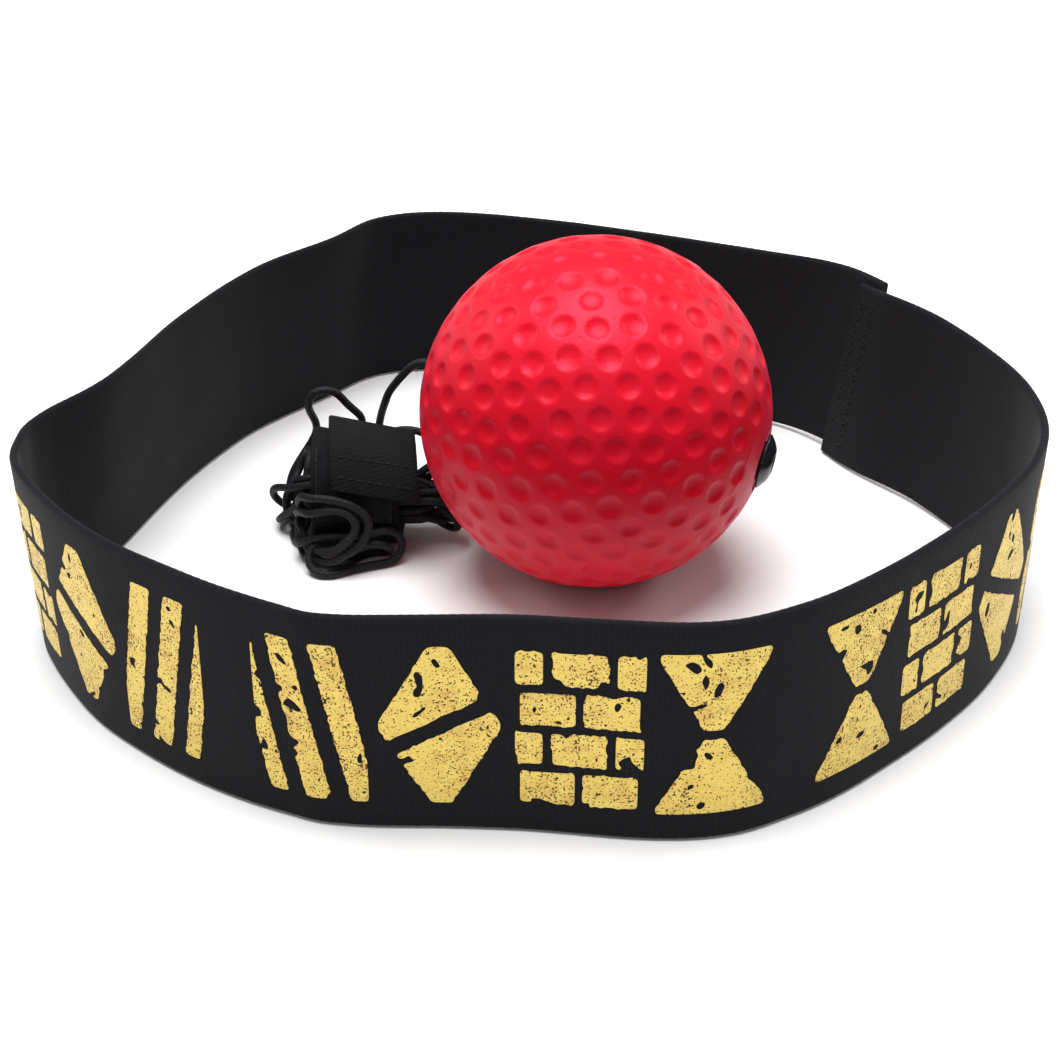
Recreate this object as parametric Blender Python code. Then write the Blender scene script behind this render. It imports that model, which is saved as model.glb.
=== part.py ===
"""Reflex ball headband: an elastic loop to wear round the head, and a dimpled foam ball on an
elastic cord, whose spare length is wound into a hank that a hook-and-loop tab holds together.

Metres, +Z up. The headband stands on its edge at z = 0, round the origin, with the printed
front towards -Y. The ball and the wound cord lie loose inside the loop.
"""

import math

import bmesh
import bpy
import numpy as np
from mathutils import Matrix, Vector

MM = 0.001
GAP = 0.0003  # between neighbouring pieces

# --- headband: one strip of elastic, closed by a lapped and sewn seam ---
BAND_WIDTH = 0.038
BAND_THICKNESS = 0.0015
BAND_STEP = 0.004  # spacing of the strip's sections
LAP = 0.007  # how far the strip's ends overlap
LAP_FADE = 0.018  # length over which the strip eases into the lap
LAP_GAP = 0.0005  # between the two layers
LAP_SKEW = 0.005  # the inner end is cut this far off square
LAP_DROP = 0.0013  # the inner end is sewn on this much too low
LAP_LIFT_REACH = 0.022  # the low end raises the loop on either side of the seam

# The loop's top edge seen from above, anticlockwise from the seam, in millimetres: x, y, and
# how far the bottom edge stands outside it.
BAND_ROUTE = (
    (67.0, 37.8, -3.4),
    (59.5, 47.5, -1.8),
    (47.0, 56.5, 1.0),
    (24.0, 67.4, 2.4),
    (0.0, 75.8, 2.5),
    (-19.4, 79.6, 2.6),
    (-33.0, 76.1, 3.6),
    (-41.6, 64.6, 5.2),
    (-55.6, 48.8, 4.6),
    (-66.1, 27.1, 4.6),
    (-75.4, -0.2, 4.4),
    (-84.0, -14.7, 2.6),
    (-86.2, -23.0, 0.0),
    (-84.0, -34.5, -1.4),
    (-70.9, -53.0, -0.6),
    (-52.7, -67.6, 0.4),
    (-38.0, -76.4, -0.4),
    (-28.5, -79.3, -0.6),
    (-4.0, -79.3, 0.5),
    (22.8, -81.5, 0.6),
    (38.3, -76.4, 0.4),
    (54.0, -64.6, 0.4),
    (72.9, -44.3, 0.6),
    (84.3, -25.6, -0.8),
    (86.4, -6.2, -0.6),
    (80.5, 14.8, -2.0),
)

SEAM_ROWS = (0.0017, 0.0050)  # each row's distance from the start of the lap
THREAD_RADIUS = 0.0002
ZIGZAG_WIDTH = 0.0018
ZIGZAG_PITCH = 0.0025
ZIGZAG_MARGIN = 0.0030  # from the strip's edges

# --- ball, bored through for the cord ---
BALL_RADIUS = 0.0315
BALL_CENTRE = Vector((0.0106, -0.0019, BALL_RADIUS))
BORE_AZIMUTH = math.radians(-17.4)  # towards the stopper's end of the bore
BORE_ELEVATION = math.radians(-9.3)
BORE_RADIUS = 0.0011
SEAT_RADIUS = 0.0058  # dished seat under the stopper
SEAT_LEVEL = 0.0302  # from the ball's centre
STEM_HOLE_RADIUS = 0.00385
STEM_HOLE_LEVEL = 0.0285
BALL_SEGMENTS = 40
BALL_RINGS = 26

# --- stopper: a domed plastic button that the cord is knotted behind ---
STOPPER_RADIUS = 0.0049
STOPPER_RIM = 0.0006
STOPPER_HEIGHT = 0.0019
STOPPER_LEVEL = 0.03095  # its flat back, from the ball's centre
STEM_RADIUS = 0.0035
STEM_LENGTH = 0.0020
CUP_RADIUS = 0.0018
CUP_DEPTH = 0.0028
KNOT_RADIUS = 0.0014
KNOT_FLATNESS = 0.85
STOPPER_SEGMENTS = 32

# --- cord ---
CORD_DIAMETER = 0.0015
CORD_RADIUS = CORD_DIAMETER / 2

# The free stretch from the ball's bore to the hank, in millimetres. Its first point is the
# bore's mouth, which route_of_lead puts in front.
LEAD_ROUTE = (
    (-20.4, 7.8, 36.8),
    (-22.3, 8.6, 35.7),
    (-24.0, 9.7, 33.5),
    (-25.6, 11.2, 31.0),
    (-27.2, 13.6, 27.8),
    (-28.3, 16.4, 24.1),
    (-29.2, 19.0, 20.7),
    (-29.9, 21.0, 17.2),
    (-30.6, 22.0, 13.0),
    (-31.8, 22.3, 8.6),
    (-34.0, 22.2, 4.8),
    (-37.6, 21.5, 2.2),
    (-42.0, 20.4, 1.0),
    (-46.0, 19.0, 1.6),
)
LEAD_STEP = 0.0032

# The hank's sections along x, in millimetres: x, centre y, centre z, half depth, half height.
HANK_SECTIONS = (
    (-50.5, 10.0, 6.0, 2.2, 2.2),
    (-49.0, 9.0, 7.0, 5.6, 5.2),
    (-46.2, 8.2, 8.0, 7.8, 7.8),
    (-43.6, 8.6, 8.4, 7.2, 7.4),
    (-42.2, 9.0, 9.3, 4.6, 4.6),
    (-19.4, 9.0, 9.3, 4.6, 4.6),
    (-18.6, 9.5, 8.6, 5.8, 6.4),
    (-17.0, 9.5, 8.2, 4.8, 5.4),
    (-16.0, 9.5, 8.0, 2.0, 2.2),
)
HANK_SIDES = 20

# --- tab: a strap wound twice round the hank, closed on itself by hook and loop ---
TAB_CENTRE = (0.0090, 0.0093)  # y, z of the winding's axis
TAB_HALF = 0.0046  # half the side of the squarish bundle that it is wound on
TAB_SQUARENESS = 3.0
TAB_CLEARANCE = 0.0010  # from the bundle to the first layer
TAB_CONE = 0.10  # how much further out it lies for each metre left of its narrow end
TAB_NARROW_X = -0.0209
TAB_WIDTH = 0.016
TAB_THICKNESS = 0.0012
TAB_PITCH = TAB_THICKNESS + 0.00035  # from layer to layer
PATCH_THICKNESS = 0.0007
# Turn angles run from the back over the top to the front: 90 is the top, 180 the front.
TAB_START = 110.0
TAB_HINGE = 845.0
TAB_END = 878.0
TAB_END_SLANT = 3.5  # the free end is cut off square by this much to either side
TAB_RISE_FROM, TAB_RISE_TO = 728.0, 836.0  # the last layer rises here to clear the patches
TAB_X_INNER = -0.0333  # middle of the strap's width on its first turn
TAB_X_END = -0.0289  # and at its free end
TAB_DRIFT_FROM = 600.0
TAB_ANGLE_STEP = 9.0
LOOP_PATCH_SPAN = (478.0, 548.0)
HOOK_PATCH_SPAN = (849.0, 872.0)
PATCH_MARGIN = 0.0012  # from the strap's selvedges
FLAP_THREADS = (851.0, 867.0)
BAR_TACK_ANGLES = (168.0, 192.0)
BAR_TACK_WIDTH = 0.007
BAR_TACK_THICKNESS = 0.0004

COLOURS = {
    "elastic": ((0.014, 0.014, 0.016), 0.85),
    "thread": ((0.020, 0.020, 0.022), 0.70),
    "foam": ((0.720, 0.018, 0.035), 0.45),
    "button": ((0.012, 0.012, 0.014), 0.18),
    "cord": ((0.016, 0.016, 0.018), 0.60),
    "webbing": ((0.020, 0.020, 0.023), 0.75),
    "pile": ((0.010, 0.010, 0.011), 0.95),
}


# ---------------------------------------------------------------- scene and mesh helpers


def clear_scene():
    for old in list(bpy.data.objects):
        bpy.data.objects.remove(old, do_unlink=True)


def material(name):
    colour, roughness = COLOURS[name]
    made = bpy.data.materials.get(name) or bpy.data.materials.new(name)
    made.use_nodes = True
    shader = made.node_tree.nodes["Principled BSDF"]
    shader.inputs["Base Color"].default_value = (*colour, 1.0)
    shader.inputs["Roughness"].default_value = roughness
    shader.inputs["Metallic"].default_value = 0.0
    return made


def add_mesh(name, verts, faces, finish, smooth_angle=None):
    mesh = bpy.data.meshes.new(name)
    mesh.from_pydata([tuple(v) for v in verts], [], faces)
    mesh.validate()
    work = bmesh.new()
    work.from_mesh(mesh)
    bmesh.ops.recalc_face_normals(work, faces=work.faces)
    work.to_mesh(mesh)
    work.free()
    mesh.materials.append(material(finish))
    if smooth_angle is not None:
        mesh.shade_smooth()
        mesh.set_sharp_from_angle(angle=math.radians(smooth_angle))
    made = bpy.data.objects.new(name, mesh)
    bpy.context.collection.objects.link(made)
    return made


def add_skin(name, rings, finish, smooth_angle=None, closed=False):
    """A solid through rings of points. Open, it is capped at both ends."""
    sides = len(rings[0])
    verts = [point for ring in rings for point in ring]
    faces = []
    for i in range(len(rings) if closed else len(rings) - 1):
        here, there = i * sides, (i + 1) % len(rings) * sides
        for k in range(sides):
            nxt = (k + 1) % sides
            faces.append((here + k, here + nxt, there + nxt, there + k))
    if not closed:
        last = (len(rings) - 1) * sides
        faces.append(tuple(range(sides)))
        faces.append(tuple(last + k for k in range(sides)))
    return add_mesh(name, verts, faces, finish, smooth_angle)


def add_lathe(name, profile, segments, finish, smooth_angle=40):
    """A ring-shaped solid: the closed profile of (radius, height) turned about local Z."""
    rings = []
    for i in range(segments):
        turn = 2 * math.pi * i / segments
        rings.append([(r * math.cos(turn), r * math.sin(turn), h) for r, h in profile])
    return add_skin(name, rings, finish, smooth_angle, closed=True)


def add_tube(name, points, radius, finish, resolution=2):
    """A round cord or thread: a bevelled curve with filled ends."""
    curve = bpy.data.curves.new(name, "CURVE")
    curve.dimensions = "3D"
    curve.bevel_depth = radius
    curve.bevel_resolution = resolution
    curve.use_fill_caps = True
    spline = curve.splines.new("POLY")
    spline.points.add(len(points) - 1)
    for spot, point in zip(spline.points, points):
        spot.co = (*point, 1.0)
    curve.materials.append(material(finish))
    made = bpy.data.objects.new(name, curve)
    bpy.context.collection.objects.link(made)
    return made


def smoothstep(value, low, high):
    t = min(1.0, max(0.0, (value - low) / (high - low)))
    return t * t * (3 - 2 * t)


def through(points, closed=False, steps=12):
    """Points on the smooth Catmull-Rom curve through the given ones."""
    p = np.asarray(points, dtype=float)
    count = len(p)
    spans = count if closed else count - 1
    if not closed:
        p = np.vstack([2 * p[0] - p[1], p, 2 * p[-1] - p[-2]])
    found = []
    for i in range(spans):
        a, b, c, d = (p[(i + k - closed) % len(p)] for k in range(4))
        for k in range(steps):
            u = k / steps
            found.append(
                0.5 * (2 * b + (c - a) * u + (2 * a - 5 * b + 4 * c - d) * u**2)
                + 0.5 * (3 * b - a - 3 * c + d) * u**3
            )
    if not closed:
        found.append(p[-2])
    return np.array(found)


def lengths_along(points):
    steps = np.linalg.norm(np.diff(points, axis=0), axis=1)
    return np.concatenate([[0.0], np.cumsum(steps)])


# ---------------------------------------------------------------- headband


class Loop:
    """The headband's middle surface: a point for a distance along the strip, an offset
    outwards and a share of the height from 0, the bottom edge, to 1, the top edge."""

    def __init__(self):
        top = through(np.array(BAND_ROUTE) * MM, closed=True)
        top = np.vstack([top, top[:1]])
        self.table = top
        self.at = lengths_along(top[:, :2])
        self.length = self.at[-1]
        self.end = self.length + LAP

    def edge(self, s):
        s = s % self.length
        x, y, lean = (np.interp(s, self.at, self.table[:, k]) for k in range(3))
        return x, y, lean

    def outward(self, s):
        step = 0.002
        x0, y0, _ = self.edge(s - step)
        x1, y1, _ = self.edge(s + step)
        size = math.hypot(x1 - x0, y1 - y0)
        return (y1 - y0) / size, -(x1 - x0) / size

    def layer(self, s):
        """How far the strip lies off the middle surface: outside at its start, inside at
        its end, so that the ends pass each other in the lap."""
        half = (BAND_THICKNESS + LAP_GAP) / 2
        clear = LAP + LAP_SKEW
        outside = 1 - smoothstep(s, clear, clear + LAP_FADE)
        inside = smoothstep(s, self.length - LAP_FADE - 0.001, self.length - 0.001)
        return half * (outside - inside)

    def height(self, s, share):
        from_seam = min(abs(s - LAP / 2), abs(s - self.length - LAP / 2))
        lift = LAP_DROP * math.exp(-((from_seam / LAP_LIFT_REACH) ** 2))
        drop = LAP_DROP * smoothstep(s, self.length - LAP_FADE, self.end)
        return max(0.0, lift - drop) + share * BAND_WIDTH

    def point(self, s, share, offset=0.0):
        skew = LAP_SKEW * (0.5 - share) * smoothstep(s, self.length - LAP, self.end)
        along = s + skew
        x, y, lean = self.edge(along)
        nx, ny = self.outward(along)
        out = lean * (1 - share) + self.layer(s) + offset
        return Vector((x + nx * out, y + ny * out, self.height(s, share)))


def band_ring(loop, s):
    half = BAND_THICKNESS / 2
    corners = ((0, -half), (0, half), (1, half), (1, -half))
    return [loop.point(s, share, offset) for share, offset in corners]


def build_headband(loop):
    count = round(loop.end / BAND_STEP)
    rings = [band_ring(loop, loop.end * i / count) for i in range(count + 1)]
    return add_skin("headband_elastic", rings, "elastic", smooth_angle=50)


def build_seam_threads(loop):
    """Two rows of zigzag stitching through the lap, each with a thread on either face."""
    run = BAND_WIDTH - 2 * ZIGZAG_MARGIN
    waves = round(run / ZIGZAG_PITCH)
    proud = BAND_THICKNESS / 2 + GAP + THREAD_RADIUS
    faces = (("inner", loop.length, -proud), ("outer", 0.0, proud))
    for row, distance in enumerate(SEAM_ROWS, 1):
        for face, start, offset in faces:
            points = []
            for i in range(4 * waves + 1):
                share = (ZIGZAG_MARGIN + run * i / (4 * waves)) / BAND_WIDTH
                sway = ZIGZAG_WIDTH / 2 * math.sin(math.pi / 2 * i)
                points.append(loop.point(start + distance + sway, share, offset))
            add_tube(f"seam_thread_{face}_{row}", points, THREAD_RADIUS, "thread", 1)


# ---------------------------------------------------------------- ball and stopper


def bore_axis():
    flat = math.cos(BORE_ELEVATION)
    return Vector(
        (
            flat * math.cos(BORE_AZIMUTH),
            flat * math.sin(BORE_AZIMUTH),
            math.sin(BORE_ELEVATION),
        )
    )


def on_bore(made):
    """Stands a piece turned about local Z on the ball's bore, from the ball's centre."""
    turn = bore_axis().to_track_quat("Z", "Y").to_matrix().to_4x4()
    made.matrix_world = Matrix.Translation(BALL_CENTRE) @ turn
    return made


def build_ball():
    mouth = math.asin(BORE_RADIUS / BALL_RADIUS)
    rim = math.asin(SEAT_RADIUS / BALL_RADIUS)
    profile = []
    for i in range(BALL_RINGS + 1):
        polar = math.pi - mouth + (rim - math.pi + mouth) * i / BALL_RINGS
        profile.append((BALL_RADIUS * math.sin(polar), BALL_RADIUS * math.cos(polar)))
    profile += [
        (SEAT_RADIUS * 0.86, SEAT_LEVEL + 0.0002),
        (SEAT_RADIUS * 0.70, SEAT_LEVEL),
        (STEM_HOLE_RADIUS, SEAT_LEVEL),
        (STEM_HOLE_RADIUS, STEM_HOLE_LEVEL),
        (BORE_RADIUS, STEM_HOLE_LEVEL),
    ]
    return on_bore(add_lathe("ball_foam", profile, BALL_SEGMENTS, "foam"))


def build_stopper():
    """Domed outside, with a cup for the knot. Its stem stands in the ball's seat."""
    hole = CORD_RADIUS + GAP
    profile = [
        (hole, STOPPER_LEVEL - STEM_LENGTH),
        (STEM_RADIUS, STOPPER_LEVEL - STEM_LENGTH),
        (STEM_RADIUS, STOPPER_LEVEL),
        (STOPPER_RADIUS, STOPPER_LEVEL),
    ]
    dome_steps = 6
    for i in range(dome_steps + 1):
        share = i / dome_steps
        radius = STOPPER_RADIUS + (CUP_RADIUS - STOPPER_RADIUS) * share
        rise = (STOPPER_HEIGHT - STOPPER_RIM) * math.sin(math.pi / 2 * share)
        profile.append((radius, STOPPER_LEVEL + STOPPER_RIM + rise))
    profile += [(CUP_RADIUS, cup_level()), (hole, cup_level())]
    return on_bore(add_lathe("stopper_cap", profile, STOPPER_SEGMENTS, "button", 50))


def cup_level():
    """The floor of the stopper's cup, from the ball's centre."""
    return STOPPER_LEVEL + STOPPER_HEIGHT - CUP_DEPTH


def build_knot():
    """The cord's end knot, drawn up tight in the stopper's cup."""
    work = bmesh.new()
    bmesh.ops.create_uvsphere(work, u_segments=16, v_segments=10, radius=KNOT_RADIUS)
    bmesh.ops.scale(work, vec=(1.0, 1.0, KNOT_FLATNESS), verts=work.verts)
    middle = cup_level() + GAP + KNOT_RADIUS * KNOT_FLATNESS
    bmesh.ops.translate(work, vec=(0, 0, middle), verts=work.verts)
    mesh = bpy.data.meshes.new("stopper_knot")
    work.to_mesh(mesh)
    work.free()
    mesh.materials.append(material("cord"))
    mesh.shade_smooth()
    made = bpy.data.objects.new("stopper_knot", mesh)
    bpy.context.collection.objects.link(made)
    return on_bore(made)


# ---------------------------------------------------------------- cord


def build_cord_core():
    """The cord's straight run through the stopper and the ball."""
    axis = bore_axis()
    start = BALL_CENTRE + axis * cup_level()
    end = BALL_CENTRE - axis * (BALL_RADIUS - GAP)
    points = [start.lerp(end, i / 6) for i in range(7)]
    return add_tube("cord_core", points, CORD_RADIUS, "cord")


def route_of_lead():
    mouth = BALL_CENTRE - bore_axis() * BALL_RADIUS
    return [tuple(mouth)] + [tuple(c * MM for c in point) for point in LEAD_ROUTE]


def build_cord_lead():
    smooth = through(route_of_lead())
    at = lengths_along(smooth)
    count = round(at[-1] / LEAD_STEP)
    stations = np.linspace(0, at[-1], count + 1)
    points = np.stack([np.interp(stations, at, smooth[:, k]) for k in range(3)], axis=1)
    return add_tube("cord_lead", points, CORD_RADIUS, "cord")


def squarish(angle, half_y, half_z):
    """A point of a rounded square about the origin, and its outward normal."""
    c, s = math.cos(angle), math.sin(angle)
    power = 2 / TAB_SQUARENESS
    point = (
        math.copysign(half_y * abs(c) ** power, c),
        math.copysign(half_z * abs(s) ** power, s),
    )
    normal = (
        math.copysign(abs(c) ** (2 - power) / half_y, c),
        math.copysign(abs(s) ** (2 - power) / half_z, s),
    )
    size = math.hypot(*normal)
    return point, (normal[0] / size, normal[1] / size)


def build_cord_hank():
    """The outer shape of the wound cord: spread loops at both ends of a gripped waist."""
    rings = []
    for x, y, z, half_y, half_z in HANK_SECTIONS:
        ring = []
        for k in range(HANK_SIDES):
            (dy, dz), _ = squarish(2 * math.pi * (k + 0.5) / HANK_SIDES, half_y, half_z)
            ring.append((x * MM, (y + dy) * MM, (z + dz) * MM))
        rings.append(ring)
    return add_skin("cord_hank", rings, "cord", smooth_angle=60)


# ---------------------------------------------------------------- tab


def tab_offset(angle):
    """From the bundle to the strap's inner face."""
    turns = (angle - TAB_START) / 360
    rise = 2 * PATCH_THICKNESS + 3 * GAP - (TAB_PITCH - TAB_THICKNESS)
    return TAB_CLEARANCE + TAB_PITCH * turns + rise * smoothstep(
        angle, TAB_RISE_FROM, TAB_RISE_TO
    )


def tab_middle(angle):
    share = (angle - TAB_DRIFT_FROM) / (TAB_END - TAB_DRIFT_FROM)
    return TAB_X_INNER + (TAB_X_END - TAB_X_INNER) * max(0.0, share)


def tab_point(angle, offset, x):
    """The winding is a cone that lies level on the floor, so its axis rises as it widens."""
    (y, z), (ny, nz) = squarish(math.radians(angle), TAB_HALF, TAB_HALF)
    swell = TAB_CONE * (TAB_NARROW_X - x)
    out = offset + swell
    return Vector((x, TAB_CENTRE[0] + y + ny * out, TAB_CENTRE[1] + swell + z + nz * out))


def build_ribbon(name, span, lift, thickness, width, finish, slant=0.0):
    """A flat piece wound with the strap: lift is from the strap's inner face to its own."""
    start, end = span
    count = max(3, round((end - start) / TAB_ANGLE_STEP))
    rings = []
    for i in range(count + 1):
        share = i / count
        ring = []
        for side, out in ((-1, 0), (1, 0), (1, thickness), (-1, thickness)):
            angle = start + (end + side * slant - start) * share
            x = tab_middle(angle) + side * width / 2
            ring.append(tab_point(angle, tab_offset(angle) + lift + out, x))
        rings.append(ring)
    return add_skin(name, rings, finish, smooth_angle=40)


def set_origin(made, origin):
    """Moves a piece's origin, leaving the piece where it is."""
    made.data.transform(Matrix.Translation(-origin))
    made.location = origin


def hinge_point():
    outer = tab_offset(TAB_HINGE) + TAB_THICKNESS
    return tab_point(TAB_HINGE, outer, tab_middle(TAB_HINGE))


def build_flap_threads():
    """Two rows of stitching that hold the hook patch, on the flap's outer face."""
    for row, angle in enumerate(FLAP_THREADS, 1):
        out = tab_offset(angle) + TAB_THICKNESS + GAP + THREAD_RADIUS
        half = TAB_WIDTH / 2 - PATCH_MARGIN
        middle = tab_middle(angle)
        ends = [tab_point(angle, out, middle + side * half) for side in (-1, 1)]
        points = [ends[0].lerp(ends[1], i / 4) for i in range(5)]
        add_tube(f"flap_thread_{row}", points, THREAD_RADIUS, "thread", 1)


def build_tab():
    hinge_gap = 1.6  # degrees of turn left open between strap and flap
    build_ribbon(
        "tab_strap", (TAB_START, TAB_HINGE - hinge_gap), 0, TAB_THICKNESS, TAB_WIDTH, "webbing"
    )
    flap = build_ribbon(
        "tab_flap",
        (TAB_HINGE, TAB_END),
        0,
        TAB_THICKNESS,
        TAB_WIDTH,
        "webbing",
        TAB_END_SLANT,
    )
    patch_width = TAB_WIDTH - 2 * PATCH_MARGIN
    build_ribbon(
        "tab_loop_patch",
        LOOP_PATCH_SPAN,
        TAB_THICKNESS + GAP,
        PATCH_THICKNESS,
        patch_width,
        "pile",
    )
    hook = build_ribbon(
        "tab_hook_patch",
        HOOK_PATCH_SPAN,
        -GAP - PATCH_THICKNESS,
        PATCH_THICKNESS,
        patch_width,
        "pile",
        TAB_END_SLANT,
    )
    for piece in (flap, hook):
        set_origin(piece, hinge_point())
    build_ribbon(
        "cord_bar_tack",
        BAR_TACK_ANGLES,
        -GAP - BAR_TACK_THICKNESS,
        BAR_TACK_THICKNESS,
        BAR_TACK_WIDTH,
        "thread",
    )
    build_flap_threads()


def main():
    clear_scene()
    loop = Loop()
    build_headband(loop)
    build_seam_threads(loop)
    build_ball()
    build_stopper()
    build_knot()
    build_cord_core()
    build_cord_lead()
    build_cord_hank()
    build_tab()


main()
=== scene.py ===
"""The look of the reflex ball headband: woven elastic, dimpled foam ball, wound cord and strap.

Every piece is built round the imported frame, in metres. The dimensions repeat the part's own.
"""

import math

import bmesh
import bpy
import numpy as np
from mathutils import Matrix, Vector


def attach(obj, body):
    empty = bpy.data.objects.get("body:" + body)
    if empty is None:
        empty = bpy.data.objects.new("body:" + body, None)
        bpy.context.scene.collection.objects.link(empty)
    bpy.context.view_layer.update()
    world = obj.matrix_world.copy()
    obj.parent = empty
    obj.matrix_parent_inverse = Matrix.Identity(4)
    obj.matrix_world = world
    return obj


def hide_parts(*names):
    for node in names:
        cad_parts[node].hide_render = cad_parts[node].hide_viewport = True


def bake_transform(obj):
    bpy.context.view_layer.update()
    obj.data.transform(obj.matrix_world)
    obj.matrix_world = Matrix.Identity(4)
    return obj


MM = 0.001
TAU = 2 * math.pi

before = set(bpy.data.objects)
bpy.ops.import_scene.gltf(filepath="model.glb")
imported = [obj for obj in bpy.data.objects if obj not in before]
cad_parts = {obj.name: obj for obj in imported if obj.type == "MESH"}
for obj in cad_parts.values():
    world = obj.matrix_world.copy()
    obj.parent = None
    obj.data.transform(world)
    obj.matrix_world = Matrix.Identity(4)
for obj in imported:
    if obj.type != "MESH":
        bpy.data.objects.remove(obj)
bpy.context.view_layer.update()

# ---- dimensions, as in the part

BAND_WIDTH = 0.038
BAND_THICKNESS = 0.0015
LAP = 0.007
LAP_FADE = 0.018
LAP_GAP = 0.0005
LAP_SKEW = 0.005
LAP_DROP = 0.0013
LAP_LIFT_REACH = 0.022
BAND_ROUTE = (
    (67.0, 37.8, -3.4), (59.5, 47.5, -1.8), (47.0, 56.5, 1.0), (24.0, 67.4, 2.4),
    (0.0, 75.8, 2.5), (-19.4, 79.6, 2.6), (-33.0, 76.1, 3.6), (-41.6, 64.6, 5.2),
    (-55.6, 48.8, 4.6), (-66.1, 27.1, 4.6), (-75.4, -0.2, 4.4), (-84.0, -14.7, 2.6),
    (-86.2, -23.0, 0.0), (-84.0, -34.5, -1.4), (-70.9, -53.0, -0.6), (-52.7, -67.6, 0.4),
    (-38.0, -76.4, -0.4), (-28.5, -79.3, -0.6), (-4.0, -79.3, 0.5), (22.8, -81.5, 0.6),
    (38.3, -76.4, 0.4), (54.0, -64.6, 0.4), (72.9, -44.3, 0.6), (84.3, -25.6, -0.8),
    (86.4, -6.2, -0.6), (80.5, 14.8, -2.0),
)

BALL_RADIUS = 0.0315
BALL_CENTRE = Vector((0.0106, -0.0019, BALL_RADIUS))
BORE_AZIMUTH = math.radians(-17.4)
BORE_ELEVATION = math.radians(-9.3)
BORE_RADIUS = 0.0011
SEAT_RADIUS = 0.0058
SEAT_LEVEL = 0.0302
STEM_HOLE_RADIUS = 0.00385
STEM_HOLE_LEVEL = 0.0285

STOPPER_RADIUS = 0.0049
STOPPER_RIM = 0.0006
STOPPER_HEIGHT = 0.0019
STOPPER_LEVEL = 0.03095
STEM_RADIUS = 0.0035
STEM_LENGTH = 0.0020
CUP_RADIUS = 0.0018
CUP_DEPTH = 0.0028
KNOT_RADIUS = 0.0014

CORD_DIAMETER = 0.0015

TAB_CENTRE = (0.0090, 0.0093)
TAB_HALF = 0.0046
TAB_SQUARENESS = 3.0
TAB_CLEARANCE = 0.0010
TAB_CONE = 0.10
TAB_NARROW_X = -0.0209
TAB_WIDTH = 0.016
TAB_THICKNESS = 0.0012
TAB_PITCH = TAB_THICKNESS + 0.00035
PATCH_THICKNESS = 0.0007
GAP = 0.0003
TAB_START = 110.0
TAB_HINGE = 845.0
TAB_END = 878.0
TAB_END_SLANT = 3.5
TAB_RISE_FROM, TAB_RISE_TO = 728.0, 836.0
TAB_X_INNER = -0.0333
TAB_X_END = -0.0289
TAB_DRIFT_FROM = 600.0
TAB_DRIFT_POWER = 1.3
TAB_LENGTHS_MEET = 760.0  # the angle at the back where the strap's two lengths meet
LOOP_PATCH_SPAN = (478.0, 548.0)
HOOK_PATCH_SPAN = (849.0, 872.0)
PATCH_MARGIN = 0.0012
FLAP_THREADS = (851.0, 867.0)


# ---- camera

CAMERA_LENS = 67.92
CAMERA_SENSOR = 36.0
CAMERA_PLACE = (-0.00104, -0.32048, 0.19118)
CAMERA_LOOKS_DOWN = math.radians(30.0)


def make_camera():
    data = bpy.data.cameras.new("camera")
    data.lens = CAMERA_LENS
    data.sensor_width = CAMERA_SENSOR
    data.clip_start = 0.01
    data.clip_end = 10.0
    made = bpy.data.objects.new("camera", data)
    made.location = CAMERA_PLACE
    made.rotation_euler = (math.pi / 2 - CAMERA_LOOKS_DOWN, 0.0, 0.0)
    bpy.context.collection.objects.link(made)
    bpy.context.scene.camera = made


make_camera()


# ---- helpers


def smoothstep(value, low, high):
    t = np.clip((np.asarray(value, float) - low) / (high - low), 0.0, 1.0)
    return t * t * (3 - 2 * t)


def through(points, closed=False, steps=12):
    """Points on the smooth Catmull-Rom curve through the given ones."""
    p = np.asarray(points, float)
    count = len(p)
    spans = count if closed else count - 1
    if not closed:
        p = np.vstack([2 * p[0] - p[1], p, 2 * p[-1] - p[-2]])
    u = (np.arange(steps) / steps)[:, None]
    found = []
    for i in range(spans):
        a, b, c, d = (p[(i + k - closed) % len(p)] for k in range(4))
        found.append(
            0.5 * (2 * b + (c - a) * u + (2 * a - 5 * b + 4 * c - d) * u**2)
            + 0.5 * (3 * b - a - 3 * c + d) * u**3
        )
    if not closed:
        found.append(p[-2:-1])
    return np.vstack(found)


def norms(vectors):
    return np.linalg.norm(vectors, axis=-1)


def lengths_along(points):
    return np.concatenate([[0.0], np.cumsum(norms(np.diff(points, axis=0)))])


def spaced(points, step):
    """The same line, with points a step apart."""
    at = lengths_along(points)
    stations = np.linspace(0, at[-1], int(round(at[-1] / step)) + 1)
    return np.stack([np.interp(stations, at, points[:, k]) for k in range(3)], axis=1)


def add_mesh(name, verts, faces, uvs=None, smooth=True, sharp=None):
    """A piece from points and faces. uvs is one (u, v) for each corner of each face."""
    mesh = bpy.data.meshes.new(name)
    mesh.from_pydata([tuple(v) for v in np.asarray(verts, float)], [], faces)
    if uvs is not None:
        layer = mesh.uv_layers.new(name="weave")
        layer.data.foreach_set("uv", np.asarray(uvs, np.float32).ravel())
    mesh.validate()
    if smooth:
        mesh.shade_smooth()
    if sharp is not None:
        mesh.set_sharp_from_angle(angle=math.radians(sharp))
    made = bpy.data.objects.new(name, mesh)
    bpy.context.collection.objects.link(made)
    return made


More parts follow.
